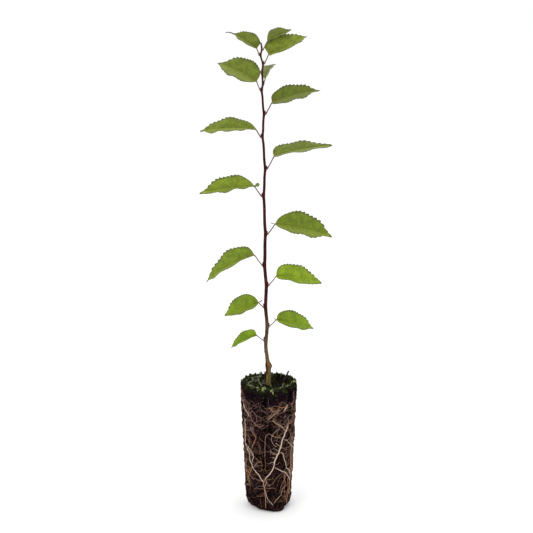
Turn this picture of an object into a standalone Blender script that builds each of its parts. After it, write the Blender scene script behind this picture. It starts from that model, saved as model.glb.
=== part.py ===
"""Plug-grown seedling of the Eurasian aspen, standing on its bare root plug.

Metres, +Z up. The origin is the centre of the plug's flat underside. +X is to the right and -Y to
the front. A heading is an angle seen from above: 0 is right, 90 is back, 180 is left.
"""
import math
import random
from collections import namedtuple

import bmesh
import bpy
from mathutils import Matrix, Vector

MM = 0.001
GAP = 0.3 * MM
MERGE = 0.01 * MM
SHARP_ANGLE = 50
NAME = "aspen_seedling"

# Root plug: a tapered cell-grown block of peat with six creases down its side
PLUG_HEIGHT = 122 * MM
PLUG_FOOT_RADIUS = 20.5 * MM
PLUG_RIM_RADIUS = 26.2 * MM
PLUG_SHOULDER = 6 * MM
PLUG_RIM_ROUND = 2.5 * MM
PLUG_SIDES = 48
PLUG_ROUND_STEPS = 4
DISH_DEPTH = 3.5 * MM
DISH_RADIUS = 17 * MM
DISH_LIP = 0.7
CREASES = 6
CREASE_HEADING = 261
CREASE_DEPTH = 1.0 * MM
CREASE_CUT_RADIUS = 3 * MM
CREASE_CUT_SIDES = 16
CREASE_CUT_LENGTH = 1.4 * PLUG_HEIGHT
SOIL = PLUG_HEIGHT - DISH_DEPTH

# Stem: root flare, knot of the root collar, then a slender shoot that leans to the left
STEM_FOOT = SOIL + GAP
STEM_TIP = PLUG_HEIGHT + 313 * MM
KNOT_HEIGHT = PLUG_HEIGHT + 16 * MM
KNOT_RADIUS = 2.1 * MM
KNOT_STRETCH = 1.3
KNOT_OFFSET = 0.9 * MM
SHOOT_FOOT = PLUG_HEIGHT + 23 * MM
FOOT_RADIUS = 2.2 * MM
FLARE = 0.6 * MM
FLARE_HEIGHT = 2 * MM
SHOOT_RADIUS = 1.6 * MM
TIP_RADIUS = 0.65 * MM
TAPER_POWER = 0.6
LEAN = 6.0 * MM
LEAN_POWER = 0.6
LEAN_START = PLUG_HEIGHT + 10 * MM
BEND = 0.7 * MM
BEND_HEIGHT = PLUG_HEIGHT + 33 * MM
BEND_REACH = 9 * MM
ZIGZAG_LOW = 0.35 * MM
ZIGZAG_HIGH = 0.85 * MM
ZIGZAG_REACH_LOW = 9 * MM
ZIGZAG_REACH_HIGH = 5 * MM
STEM_POINTS = 44
STEM_POINT_POWER = 1.2

# Buds in the leaf axils
BUD_RADIUS = 0.55 * MM
BUD_LENGTH = 1.3 * MM
BUD_RISE = 2.0 * MM
BUD_PITCH = 78

# Blades. Lobes, waves, teeth and rows are shares of a blade's length, and folds are shares of the
# leaf's own fold.
TIP_POWER = 0.95
LOBE = 0.5
LOBED_BASE = 0.7
LOBE_REACH = 0.12
WAVE = 0.014
WAVES = 2.5
FOLD_AT_BASE = 1.10
FOLD_AT_TIP = 0.60
TEETH = 9
TOOTH_DEPTH = 0.14
TOOTH_LEAN = 0.45
TOOTH_ROW_POWER = 1.25
FIRST_ROW = 0.25
LEAF_PHASE = 1.54
BLADE_THICKNESS = 0.6 * MM
BLADE_TIP_WIDTH = 0.5 * MM

# Petioles run on under the blade as its midrib
PETIOLE_RADIUS = 0.48 * MM
RIB_RADIUS = 0.32 * MM
RIB_SHARE = 0.6
RIB_DEPTH = 0.3 * BLADE_THICKNESS
PETIOLE_RISE_LOW = 34
PETIOLE_RISE_HIGH = 65

# Leaves from the lowest up. Node height over the plug's rim, petiole and blade in mm. Heading, pitch
# of the blade, roll of its face to the front and fold of its halves in degrees. Half the width of the
# blade and its arch are shares of its length. Base is the power by which the blade widens from its
# foot: the higher, the more wedge-shaped and the less lobed.
Leaf = namedtuple("Leaf", "node heading petiole blade half base pitch roll fold arch")
LEAVES = (
    Leaf(40.2, 170, 8, 28, 0.285, 0.60, -29, 31, 42, 0.07),
    Leaf(54, 12, 9, 37, 0.285, 0.58, -17, 40, 33, 0.04),
    Leaf(72.6, 184, 6.3, 33.5, 0.32, 0.58, -21, 35, 33, 0.04),
    Leaf(93, 16, 11.2, 45, 0.275, 0.53, -13, 38, 37, 0.04),
    Leaf(112, 165, 12.2, 54, 0.27, 0.61, -32, 29, 35, 0.06),
    Leaf(142, -8, 12, 53, 0.275, 0.58, -12, 35, 33, 0.03),
    Leaf(177.3, 190, 11.5, 50.3, 0.255, 0.80, -6, 22, 34, 0.02),
    Leaf(202.5, 8, 13.2, 54, 0.275, 0.57, 9, 8, 20, 0.02),
    Leaf(231.7, 186, 8, 50, 0.25, 0.75, -1.5, 19, 27, 0.02),
    Leaf(252.6, -7, 12.3, 43.5, 0.27, 0.62, 15, 34, 23, 0.03),
    Leaf(273.5, 150, 8.8, 42, 0.32, 0.53, 18.5, 35, 32, 0.02),
    Leaf(279, 58, 5.5, 21, 0.32, 0.60, 30, -10, 33, 0.12),
    Leaf(297.5, 22, 9, 39, 0.30, 0.52, 20, 34, 35, 0.03),
    Leaf(305, 165, 6.8, 25, 0.38, 0.75, 30, 32, 38, 0.03),
    Leaf(310, 28, 8.3, 25.5, 0.34, 0.60, 20, 18, 33, 0.03),
)

# Tip of the shoot: a closed bud with one young leaf still rolled beside it
TIP_BUD_RADIUS = 0.8 * MM
TIP_BUD_LENGTH = 3.2 * MM
YOUNG_LEAF_LENGTH = 6 * MM
YOUNG_LEAF_RADIUS = 0.6 * MM
YOUNG_LEAF_HEADING = 150
YOUNG_LEAF_PITCH = 72
YOUNG_LEAF_CURL = 1.0 * MM

# Roots that lie on the side of the plug: radius and how deep the root sinks into a crease, in mm, and
# its route as angles from the front, in degrees to the right, each with a height in mm
Root = namedtuple("Root", "radius sink route")
ROOTS = (
    Root(0.80, 0.0, ((49, 85), (33, 73), (21, 58), (13, 47), (2, 39), (-4, 34))),
    Root(0.65, 0.0, ((-66, 67), (-53, 59), (-46, 48), (-30, 39), (-17, 33))),
    Root(0.65, 0.0, ((18, 45), (31, 41), (48, 37), (60, 30), (65, 21), (57, 11))),
    Root(0.50, 0.0, ((8, 93), (17, 89), (33, 85))),
    Root(0.50, 0.0, ((42, 72), (58, 65), (76, 59))),
    Root(0.55, 0.0, ((30, 60), (41, 50), (47, 44))),
    Root(0.45, 0.7, ((-9, 78), (-9, 65), (-9, 51))),
    Root(0.50, 0.0, ((50, 24), (37, 22), (28, 16), (13, 11))),
    Root(0.45, 0.0, ((40, 106), (30, 103), (14, 102), (2, 96))),
    Root(0.45, 0.0, ((-69, 107), (-60, 100), (-46, 95))),
)
BACK_ROOTS = 6
BACK_ROOT_RADIUS = 0.6 * MM
BACK_ROOT_START = 105
BACK_ROOT_SPAN = 150
BACK_ROOT_TOPS = (98 * MM, 60 * MM)
BACK_ROOT_LENGTH = 44 * MM
BACK_ROOT_SWAY = 5
BACK_ROOT_JITTER = 2
BACK_ROOT_KNOTS = 5
ROOT_STEP = 3.2 * MM
ROOT_TAPER = 0.4

# Moss cushions on the flat of the dish: heading, distance from the axis, radius and height, in mm
Cushion = namedtuple("Cushion", "heading distance radius height")
MOSS = (
    Cushion(250, 10.0, 5.0, 3.4),
    Cushion(310, 11.0, 4.4, 4.0),
    Cushion(15, 11.0, 4.6, 3.6),
    Cushion(80, 10.5, 4.8, 4.2),
    Cushion(140, 11.0, 4.4, 3.4),
    Cushion(195, 10.5, 4.6, 3.8),
)
MOSS_LUMPS = 0.12

# Dead twig in the peat at the back
TWIG_RADIUS = 0.7 * MM
TWIG_FOOT = Vector((13.5 * MM, 8.5 * MM, SOIL + 0.8 * MM))
TWIG_TOP = Vector((18.6 * MM, 12.0 * MM, PLUG_HEIGHT + 6.5 * MM))

SEED = 7

PEAT = (0.022, 0.014, 0.012, 1)
BARK = (0.075, 0.022, 0.018, 1)
LEAF_GREEN = (0.170, 0.290, 0.025, 1)
YOUNG_GREEN = (0.130, 0.170, 0.060, 1)
ROOT_TAN = (0.480, 0.330, 0.200, 1)
MOSS_GREEN = (0.060, 0.090, 0.016, 1)


def clear_scene():
    for old in list(bpy.data.objects):
        bpy.data.objects.remove(old, do_unlink=True)


def new_collection(name):
    collection = bpy.data.collections.new(name)
    bpy.context.scene.collection.children.link(collection)
    return collection


def new_material(name, color, roughness):
    material = bpy.data.materials.new(name)
    material.use_nodes = True
    shader = material.node_tree.nodes["Principled BSDF"]
    shader.inputs["Base Color"].default_value = color
    shader.inputs["Roughness"].default_value = roughness
    shader.inputs["Metallic"].default_value = 0.0
    return material


def heading_vector(heading, pitch=0.0):
    turn = math.radians(heading)
    rise = math.radians(pitch)
    return Vector((math.cos(turn) * math.cos(rise), math.sin(turn) * math.cos(rise), math.sin(rise)))


def link_mesh(name, mesh, collection):
    piece = bpy.data.objects.new(name, mesh)
    collection.objects.link(piece)
    return piece


def finish(piece, material):
    """Gives a finished piece its material and smooth shading with sharp edges kept."""
    piece.data.materials.clear()
    piece.data.materials.append(material)
    piece.data.shade_smooth()
    piece.data.set_sharp_from_angle(angle=math.radians(SHARP_ANGLE))


def baked(piece, name, collection):
    """The piece with its modifiers applied, as a plain mesh object in place of the old one."""
    bpy.context.view_layer.update()
    evaluated = piece.evaluated_get(bpy.context.evaluated_depsgraph_get())
    mesh = bpy.data.meshes.new_from_object(evaluated)
    mesh.name = name
    solid = link_mesh(name, mesh, collection)
    solid.matrix_world = piece.matrix_world.copy()
    bpy.data.objects.remove(piece, do_unlink=True)
    weld = bmesh.new()
    weld.from_mesh(mesh)
    bmesh.ops.remove_doubles(weld, verts=weld.verts, dist=MERGE)
    bmesh.ops.recalc_face_normals(weld, faces=weld.faces)
    weld.to_mesh(mesh)
    weld.free()
    return solid


def tube(name, points, radii, collection, resolution=1):
    """A closed tapering tube along the points."""
    curve = bpy.data.curves.new(name, "CURVE")
    curve.dimensions = "3D"
    curve.bevel_depth = 1.0
    curve.bevel_resolution = resolution
    curve.use_fill_caps = True
    spline = curve.splines.new("POLY")
    spline.points.add(len(points) - 1)
    for knot, place, radius in zip(spline.points, points, radii):
        knot.co = (*place, 1)
        knot.radius = radius
    route = bpy.data.objects.new(name + "_curve", curve)
    collection.objects.link(route)
    return baked(route, name, collection)


def ball(name, center, radii, axis, collection, segments=8, rings=6):
    """An ellipsoid whose third radius lies along the axis."""
    shape = bmesh.new()
    bmesh.ops.create_uvsphere(shape, u_segments=segments, v_segments=rings, radius=1)
    turn = axis.to_track_quat("Z", "Y").to_matrix().to_4x4()
    place = Matrix.Translation(center) @ turn @ Matrix.Diagonal((*radii, 1))
    bmesh.ops.transform(shape, matrix=place, verts=shape.verts)
    mesh = bpy.data.meshes.new(name)
    shape.to_mesh(mesh)
    shape.free()
    return link_mesh(name, mesh, collection)


def fuse(name, body, others, collection):
    """One solid from a body and the pieces sunk into it, by a Boolean union on a collection."""
    group = new_collection(name + "_union")
    for piece in others:
        for home in list(piece.users_collection):
            home.objects.unlink(piece)
        group.objects.link(piece)
    union = body.modifiers.new("Union", "BOOLEAN")
    union.operation = "UNION"
    union.operand_type = "COLLECTION"
    union.collection = group
    union.solver = "EXACT"
    solid = baked(body, name, collection)
    for piece in list(group.objects):
        bpy.data.objects.remove(piece, do_unlink=True)
    bpy.data.collections.remove(group)
    return solid


def smooth_route(knots, step):
    """Points about a step apart on a smooth curve through the knots."""
    padded = [2 * knots[0] - knots[1], *knots, 2 * knots[-1] - knots[-2]]
    points = []
    for before, start, end, after in zip(padded, padded[1:], padded[2:], padded[3:]):
        count = max(1, round((end - start).length / step))
        for index in range(count):
            t = index / count
            bend = 2 * before - 5 * start + 4 * end - after
            twist = 3 * (start - end) + after - before
            points.append(0.5 * (2 * start + (end - before) * t + bend * t * t + twist * t ** 3))
    points.append(knots[-1])
    return points


def plug_radius(height):
    return PLUG_FOOT_RADIUS + (PLUG_RIM_RADIUS - PLUG_FOOT_RADIUS) * height / PLUG_HEIGHT


def make_plug(parts, cutters, material):
    """The turned block of peat, with the creases that the ribs of its growing cell leave."""
    profile = [(0, SOIL), (DISH_RADIUS, SOIL)]
    profile.append((PLUG_RIM_RADIUS - 2 * PLUG_RIM_ROUND, SOIL + DISH_LIP * DISH_DEPTH))
    turns = [step / PLUG_ROUND_STEPS * math.pi / 2 for step in range(PLUG_ROUND_STEPS + 1)]
    for turn in turns:
        out = PLUG_RIM_RADIUS - PLUG_RIM_ROUND * (1 - math.sin(turn))
        profile.append((out, PLUG_HEIGHT - PLUG_RIM_ROUND * (1 - math.cos(turn))))
    foot = plug_radius(PLUG_SHOULDER) - PLUG_SHOULDER
    for turn in turns:
        out = foot + PLUG_SHOULDER * math.cos(turn)
        profile.append((out, PLUG_SHOULDER * (1 - math.sin(turn))))
    profile.append((0, 0))
    mesh = bpy.data.meshes.new("plug_profile")
    edges = [(index, index + 1) for index in range(len(profile) - 1)]
    mesh.from_pydata([(out, 0, height) for out, height in profile], edges, [])
    turned = link_mesh("plug_profile", mesh, parts)
    screw = turned.modifiers.new("Turn", "SCREW")
    screw.axis = "Z"
    screw.steps = PLUG_SIDES
    screw.render_steps = PLUG_SIDES
    screw.use_merge_vertices = True
    screw.merge_threshold = MERGE
    block = baked(turned, "plug_block", parts)

    tilt = math.atan((PLUG_RIM_RADIUS - PLUG_FOOT_RADIUS) / PLUG_HEIGHT)
    for index in range(CREASES):
        shape = bmesh.new()
        bmesh.ops.create_cone(
            shape, cap_ends=True, segments=CREASE_CUT_SIDES, radius1=CREASE_CUT_RADIUS,
            radius2=CREASE_CUT_RADIUS, depth=CREASE_CUT_LENGTH,
        )
        axis = plug_radius(PLUG_HEIGHT / 2) + CREASE_CUT_RADIUS - CREASE_DEPTH
        place = (
            Matrix.Rotation(math.radians(CREASE_HEADING + 360 / CREASES * index), 4, "Z")
            @ Matrix.Translation((axis, 0, PLUG_HEIGHT / 2))
            @ Matrix.Rotation(tilt, 4, "Y")
        )
        bmesh.ops.transform(shape, matrix=place, verts=shape.verts)
        mesh = bpy.data.meshes.new("crease")
        shape.to_mesh(mesh)
        shape.free()
        cutter = link_mesh("crease_%d" % (index + 1), mesh, cutters)
        cutter.hide_render = True
        cutter.display_type = "WIRE"
    cut = block.modifiers.new("Creases", "BOOLEAN")
    cut.operation = "DIFFERENCE"
    cut.operand_type = "COLLECTION"
    cut.collection = cutters
    cut.solver = "EXACT"
    finish(baked(block, "root_plug", parts), material)


def node_height(leaf):
    return PLUG_HEIGHT + leaf.node * MM


def stem_lean(height):
    share = max(height - LEAN_START, 0) / (STEM_TIP - LEAN_START)
    bend = (height - BEND_HEIGHT) / BEND_REACH
    return -LEAN * share ** LEAN_POWER - BEND * math.exp(-bend * bend)


def stem_center(height):
    """The stem's axis: it leans to the left and steps a little towards each leaf at its node."""
    center = Vector((stem_lean(height), 0, height))
    for leaf in LEAVES:
        share = leaf.node / LEAVES[-1].node
        step = ZIGZAG_LOW + (ZIGZAG_HIGH - ZIGZAG_LOW) * share
        span = ZIGZAG_REACH_LOW + (ZIGZAG_REACH_HIGH - ZIGZAG_REACH_LOW) * share
        reach = (height - node_height(leaf)) / span
        center += step * math.exp(-reach * reach) * heading_vector(leaf.heading)
    return center


def stem_radius(height):
    share = min(max((height - SHOOT_FOOT) / (STEM_TIP - SHOOT_FOOT), 0), 1)
    shoot = TIP_RADIUS + (SHOOT_RADIUS - TIP_RADIUS) * (1 - share) ** TAPER_POWER
    collar = min(max((SHOOT_FOOT - height) / (SHOOT_FOOT - KNOT_HEIGHT), 0), 1)
    flare = FLARE * math.exp(-(height - STEM_FOOT) / FLARE_HEIGHT)
    return shoot + (FOOT_RADIUS - SHOOT_RADIUS) * collar + flare


def make_stem(parts, material):
    """One tapering stem from a flat cut at the soil to its tip, with a bud above each leaf."""
    shares = [(index / (STEM_POINTS - 1)) ** STEM_POINT_POWER for index in range(STEM_POINTS)]
    heights = [STEM_FOOT + (STEM_TIP - STEM_FOOT) * share for share in shares]
    points = [stem_center(height) for height in heights]
    # An upright first stretch keeps the cut at the foot level
    points[0].xy = points[1].xy
    radii = [stem_radius(height) for height in heights]
    stem = tube("stem_axis", points, radii, parts, resolution=3)
    knot = stem_center(KNOT_HEIGHT) + Vector((KNOT_OFFSET, 0, 0))
    knot_size = (KNOT_RADIUS, KNOT_RADIUS, KNOT_STRETCH * KNOT_RADIUS)
    swellings = [ball("knot", knot, knot_size, Vector((0, 0, 1)), parts)]
    bud_size = (BUD_RADIUS, BUD_RADIUS, BUD_LENGTH)
    for index, leaf in enumerate(LEAVES[:-1]):
        height = node_height(leaf) + BUD_RISE
        place = stem_center(height) + stem_radius(height) * heading_vector(leaf.heading)
        axis = heading_vector(leaf.heading, BUD_PITCH)
        swellings.append(ball("bud_%d" % (index + 1), place, bud_size, axis, parts))
    finish(fuse("stem", stem, swellings, parts), material)


def half_width(leaf, u):
    """Half the width of a blade at the share u of its length, as a share of the length."""
    widest = leaf.base / (leaf.base + TIP_POWER)
    return leaf.half * (u / widest) ** leaf.base * ((1 - u) / (1 - widest)) ** TIP_POWER


# Foot of a petiole, foot of its blade, and the blade's directions: along it, out of its face and
# towards the back of the plant
Frame = namedtuple("Frame", "foot base along face back")


def leaf_frame(leaf):
    height = node_height(leaf)
    lowest = LEAVES[0].node
    share = (leaf.node - lowest) / (LEAVES[-1].node - lowest)
    rise = PETIOLE_RISE_LOW + (PETIOLE_RISE_HIGH - PETIOLE_RISE_LOW) * math.sqrt(share)
    stand = stem_radius(height) + GAP + PETIOLE_RADIUS * math.sin(math.radians(rise))
    foot = stem_center(height) + stand * heading_vector(leaf.heading)
    base = foot + leaf.petiole * MM * heading_vector(leaf.heading, rise)
    along = heading_vector(leaf.heading, leaf.pitch)
    level = Vector((0, 0, 1))
    level = (level - level.dot(along) * along).normalized()
    to_back = level.cross(along)
    if to_back.y < 0:
        to_back = -to_back
    roll = math.radians(leaf.roll)
    face = level * math.cos(roll) - to_back * math.sin(roll)
    back = to_back * math.cos(roll) + level * math.sin(roll)
    return Frame(foot, base, along, face, back)


def rib_point(leaf, frame, u):
    length = leaf.blade * MM
    return frame.base + u * length * frame.along + leaf.arch * length * 4 * u * (1 - u) * frame.face


def blade_point(leaf, frame, phase, u, v, reach=1.0, forward=0.0):
    """Point of the blade at the share u of its length and v from the rib (0) to the margin (-1, 1)."""
    length = leaf.blade * MM
    fold = math.radians(leaf.fold) * (FOLD_AT_BASE + (FOLD_AT_TIP - FOLD_AT_BASE) * u)
    width = max(half_width(leaf, u) * reach * length, BLADE_TIP_WIDTH / 2)
    lobe = LOBE * max(LOBED_BASE - leaf.base, 0) * u / LOBE_REACH * math.exp(1 - u / LOBE_REACH)
    wave = WAVE * math.sin(2 * math.pi * WAVES * u + phase + v) * v * v
    place = rib_point(leaf, frame, u)
    place += v * width * math.cos(fold) * frame.back + abs(v) * width * math.sin(fold) * frame.face
    return place + abs(v) * (forward - lobe) * length * frame.along + wave * length * frame.face


def make_blade(name, leaf, frame, phase, parts):
    """The toothed blade, folded along its rib: an open sheet given its thickness."""
    rows = 2 * TEETH + 1
    shares = [((row + FIRST_ROW) / (rows - 1 + FIRST_ROW)) ** TOOTH_ROW_POWER for row in range(rows)]
    places = []
    for row, u in enumerate(shares):
        reach = 1.0 - TOOTH_DEPTH
        forward = 0.0
        if row % 2 == 1:
            reach = 1.0
            forward = TOOTH_LEAN * (shares[row + 1] - u)
        places.append(blade_point(leaf, frame, phase, u, -1.0, reach, forward))
        places += [blade_point(leaf, frame, phase, u, v) for v in (-0.5, 0.0, 0.5)]
        places.append(blade_point(leaf, frame, phase, u, 1.0, reach, forward))
    wide = len(places) // rows
    faces = []
    for row in range(rows - 1):
        for column in range(wide - 1):
            corner = row * wide + column
            faces.append((corner, corner + 1, corner + wide + 1, corner + wide))
    mesh = bpy.data.meshes.new(name)
    mesh.from_pydata(places, [], faces)
    sheet = link_mesh(name + "_sheet", mesh, parts)
    solidify = sheet.modifiers.new("Thickness", "SOLIDIFY")
    solidify.thickness = BLADE_THICKNESS
    solidify.offset = 0.0
    return baked(sheet, name + "_blade", parts)


def make_leaf(index, leaf, parts, material):
    """A petiole 0.3 mm clear of the stem, fused into the underside of its blade."""
    name = "leaf_%02d" % (index + 1)
    frame = leaf_frame(leaf)
    sheet = make_blade(name, leaf, frame, LEAF_PHASE * index, parts)
    points = [frame.foot.lerp(frame.base, share) for share in (0, 0.35, 0.7)]
    for share in (0.03, 0.2, 0.4, RIB_SHARE):
        points.append(rib_point(leaf, frame, share) - RIB_DEPTH * frame.face)
    thinning = (PETIOLE_RADIUS - RIB_RADIUS) / (len(points) - 1)
    radii = [PETIOLE_RADIUS - thinning * index for index in range(len(points))]
    petiole = tube(name + "_petiole", points, radii, parts)
    finish(fuse(name, sheet, [petiole], parts), material)


def make_tip_bud(parts, material):
    """The closed end bud and the young leaf rolled up beside it, 0.3 mm above the stem's tip."""
    upright = Vector((0, 0, 1))
    half = TIP_BUD_LENGTH / 2
    center = stem_center(STEM_TIP) + (GAP + half) * upright
    bud = ball("bud_body", center, (TIP_BUD_RADIUS, TIP_BUD_RADIUS, half), upright, parts)
    leaf = YOUNG_LEAF_LENGTH * heading_vector(YOUNG_LEAF_HEADING, YOUNG_LEAF_PITCH)
    points = [center + share * leaf for share in (0.05, 0.3, 0.6, 0.85, 1.0)]
    points[-1] += YOUNG_LEAF_CURL * heading_vector(180)
    radii = [YOUNG_LEAF_RADIUS * share for share in (0.8, 1.0, 1.0, 0.7, 0.25)]
    young = tube("young_leaf", points, radii, parts)
    finish(fuse("tip_bud", bud, [young], parts), material)


def plug_point(angle, height, out):
    """Point outside the plug's side at an angle from the front, in degrees to the right."""
    turn = math.radians(angle)
    radius = plug_radius(height) + out
    return Vector((radius * math.sin(turn), -radius * math.cos(turn), height))


def make_root(name, radius, sink, route, parts, material):
    """A root that lies along the side of the plug and thins towards its tip."""
    knots = [plug_point(angle, height, 0) for angle, height in route]
    points = []
    for place in smooth_route(knots, ROOT_STEP):
        angle = math.degrees(math.atan2(place.x, -place.y))
        points.append(plug_point(angle, place.z, GAP + radius - sink))
    steps = len(points) - 1
    radii = [radius * (1 - ROOT_TAPER * step / steps) for step in range(steps + 1)]
    finish(tube(name, points, radii, parts), material)


def back_route(index, chance):
    """A seeded route that winds down the back of the plug like those in front."""
    angle = BACK_ROOT_START + BACK_ROOT_SPAN * (index + 0.5) / BACK_ROOTS
    top = BACK_ROOT_TOPS[index % 2]
    route = []
    for knot in range(BACK_ROOT_KNOTS):
        sway = BACK_ROOT_SWAY * math.sin(knot * math.pi / 2 + index)
        sway += chance.uniform(-BACK_ROOT_JITTER, BACK_ROOT_JITTER)
        route.append((angle + sway, top - BACK_ROOT_LENGTH * knot / (BACK_ROOT_KNOTS - 1)))
    return route


def make_roots(parts, material):
    for index, root in enumerate(ROOTS):
        route = [(angle, height * MM) for angle, height in root.route]
        make_root("root_%02d" % (index + 1), root.radius * MM, root.sink * MM, route, parts, material)
    chance = random.Random(SEED)
    for index in range(BACK_ROOTS):
        name = "root_%02d" % (len(ROOTS) + index + 1)
        make_root(name, BACK_ROOT_RADIUS, 0.0, back_route(index, chance), parts, material)


def make_moss(parts, material):
    """Lumpy cushions of moss whose flat undersides lie on the soil."""
    chance = random.Random(SEED)
    for index, cushion in enumerate(MOSS):
        shape = bmesh.new()
        bmesh.ops.create_icosphere(shape, subdivisions=2, radius=1)
        for vert in shape.verts:
            vert.co *= 1 + chance.uniform(-MOSS_LUMPS, MOSS_LUMPS)
        size = Matrix.Diagonal((cushion.radius * MM, cushion.radius * MM, cushion.height * MM, 1))
        place = cushion.distance * MM * heading_vector(cushion.heading)
        place.z = SOIL + GAP
        bmesh.ops.transform(shape, matrix=Matrix.Translation(place) @ size, verts=shape.verts)
        cut = bmesh.ops.bisect_plane(
            shape, geom=shape.verts[:] + shape.edges[:] + shape.faces[:], plane_co=place,
            plane_no=(0, 0, 1), clear_inner=True, dist=MERGE,
        )
        rim = [item for item in cut["geom_cut"] if isinstance(item, bmesh.types.BMEdge)]
        bmesh.ops.holes_fill(shape, edges=rim)
        bmesh.ops.recalc_face_normals(shape, faces=shape.faces)
        name = "moss_%d" % (index + 1)
        mesh = bpy.data.meshes.new(name)
        shape.to_mesh(mesh)
        shape.free()
        finish(link_mesh(name, mesh, parts), material)


def make_twig(parts, material):
    points = [TWIG_FOOT.lerp(TWIG_TOP, share) for share in (0, 0.4, 0.7, 1)]
    finish(tube("twig", points, [TWIG_RADIUS] * len(points), parts), material)


def main():
    clear_scene()
    parts = new_collection(NAME)
    cutters = new_collection("cutters")
    peat = new_material("peat", PEAT, 0.95)
    bark = new_material("bark", BARK, 0.55)
    leaf_green = new_material("leaf_green", LEAF_GREEN, 0.45)
    young_green = new_material("young_green", YOUNG_GREEN, 0.5)
    root_tan = new_material("root_tan", ROOT_TAN, 0.7)
    moss_green = new_material("moss_green", MOSS_GREEN, 0.95)
    make_plug(parts, cutters, peat)
    make_stem(parts, bark)
    for index, leaf in enumerate(LEAVES):
        make_leaf(index, leaf, parts, leaf_green)
    make_tip_bud(parts, young_green)
    make_roots(parts, root_tan)
    make_moss(parts, moss_green)
    make_twig(parts, bark)


main()
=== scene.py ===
"""Looks of the aspen seedling: finer leaves, bark, peat, roots and moss in place of the plain solids.

Metres, +Z up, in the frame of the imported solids: the origin is the centre of the plug's flat
underside, +X is to the right and -Y to the front. A heading is an angle seen from above: 0 is right,
90 is back, 180 is left.
"""
import math
import random
from collections import namedtuple

import bmesh
import bpy
from mathutils import Matrix, Vector, noise


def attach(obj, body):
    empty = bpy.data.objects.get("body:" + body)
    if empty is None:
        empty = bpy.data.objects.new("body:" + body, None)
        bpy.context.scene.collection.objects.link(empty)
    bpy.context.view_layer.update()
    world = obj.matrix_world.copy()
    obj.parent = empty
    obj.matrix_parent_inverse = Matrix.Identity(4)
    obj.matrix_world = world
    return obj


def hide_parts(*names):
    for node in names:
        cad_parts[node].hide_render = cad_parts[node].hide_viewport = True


MM = 0.001
UP = Vector((0, 0, 1))
SEED = 11

# Root plug
PLUG_HEIGHT = 122 * MM
PLUG_FOOT_RADIUS = 20.5 * MM
PLUG_RIM_RADIUS = 26.2 * MM
PLUG_SHOULDER = 6 * MM
PLUG_RIM_ROUND = 1.1 * MM
DISH_DEPTH = 3.5 * MM
DISH_RADIUS = 17 * MM
SOIL = PLUG_HEIGHT - DISH_DEPTH
CREASES = 6
CREASE_ANGLE = -9
CREASE_DEPTH = 1.5 * MM
CREASE_WIDTH = 1.3 * MM
PEAT_SPOKES = 300
PEAT_STEP = 0.75 * MM
LUMP_HEIGHT = 1.0 * MM
LUMP_SIZE = 5 * MM
GRAIN_HEIGHT = 0.7 * MM
GRAIN_SIZE = 1.5 * MM
FOOT_LOBE = 4.5 * MM
LOBE_ANGLE = 26
LOBE_SPAN = 24
LOBE_HEIGHT = 8 * MM
FOOT_WEAR = 3.0 * MM
WEAR_HEIGHT = 16 * MM
# Worn corners of the foot: angle from the front and span in degrees, and depth
WORN_CORNERS = ((-52, 30, FOOT_WEAR), (68, 22, 0.7 * FOOT_WEAR))

# Stem, by nearly the same rule as its solid
STEM_TIP = PLUG_HEIGHT + 313 * MM
KNOT_HEIGHT = PLUG_HEIGHT + 16 * MM
BARK_RISE = 0.13 * MM
BARK_FADE_START = SOIL + 120 * MM
BARK_FADE_END = SOIL + 200 * MM
BARK_RIBS = 5
BARK_RIB_HEIGHT = 0.05 * MM
BARK_GRAIN = 0.06 * MM
KNOT_HEADING = -20
KNOT_SWELL = 0.75 * MM
KNOT_LENGTH = 2.6 * MM
WRINKLE_HEIGHT = 0.16 * MM
WRINKLE_PITCH = 0.42 * MM
SHOOT_FOOT = PLUG_HEIGHT + 23 * MM
FOOT_RADIUS = 2.2 * MM
FLARE = 0.2 * MM
FLARE_HEIGHT = 2 * MM
SHOOT_RADIUS = 1.6 * MM
TIP_RADIUS = 0.65 * MM
TAPER_POWER = 0.6
LEAN = 6.0 * MM
LEAN_POWER = 0.6
LEAN_START = PLUG_HEIGHT + 10 * MM
BEND = 0.7 * MM
BEND_HEIGHT = PLUG_HEIGHT + 33 * MM
BEND_REACH = 9 * MM
ZIGZAG_LOW = 0.35 * MM
ZIGZAG_HIGH = 0.85 * MM
ZIGZAG_REACH_LOW = 9 * MM
ZIGZAG_REACH_HIGH = 5 * MM
STEM_SIDES = 28
STEM_STEP = 0.9 * MM
CUSHION_SWELL = 0.45 * MM
CUSHION_LENGTH = 1.8 * MM
STEM_BOTTOM = SOIL - 2.5 * MM
# Sways of the bark: height over the plug's rim, reach and shift to the right, in mm
STEM_SWAYS = ((203, 32, 0.60), (313, 14, -0.9), (33, 9, -0.35))
# Colours of the bark, dark and light: at the soil, then each layer with the heights in mm over the
# plug's rim between which it takes over, on a height that blotches push up by as much as 30 mm
SOIL_BARK = ((0.052, 0.040, 0.009), (0.190, 0.152, 0.048))
BARK_LAYERS = (
    (22, 34, (0.074, 0.036, 0.015), (0.175, 0.100, 0.046)),
    (36, 50, (0.040, 0.022, 0.014), (0.110, 0.070, 0.042)),
    (66, 92, (0.024, 0.003, 0.003), (0.056, 0.009, 0.008)),
    (280, 320, (0.030, 0.010, 0.007), (0.070, 0.026, 0.014)),
)
BARK_BLOTCH = 30 * MM
# Scars of the bark: rise over the knot in mm, and heading
SCARS = ((7, 200), (13, 188), (-6, 186))
BUD_PITCH = 76
BUD_LENGTH = 3.2 * MM
BUD_RADIUS = 0.72 * MM

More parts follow.
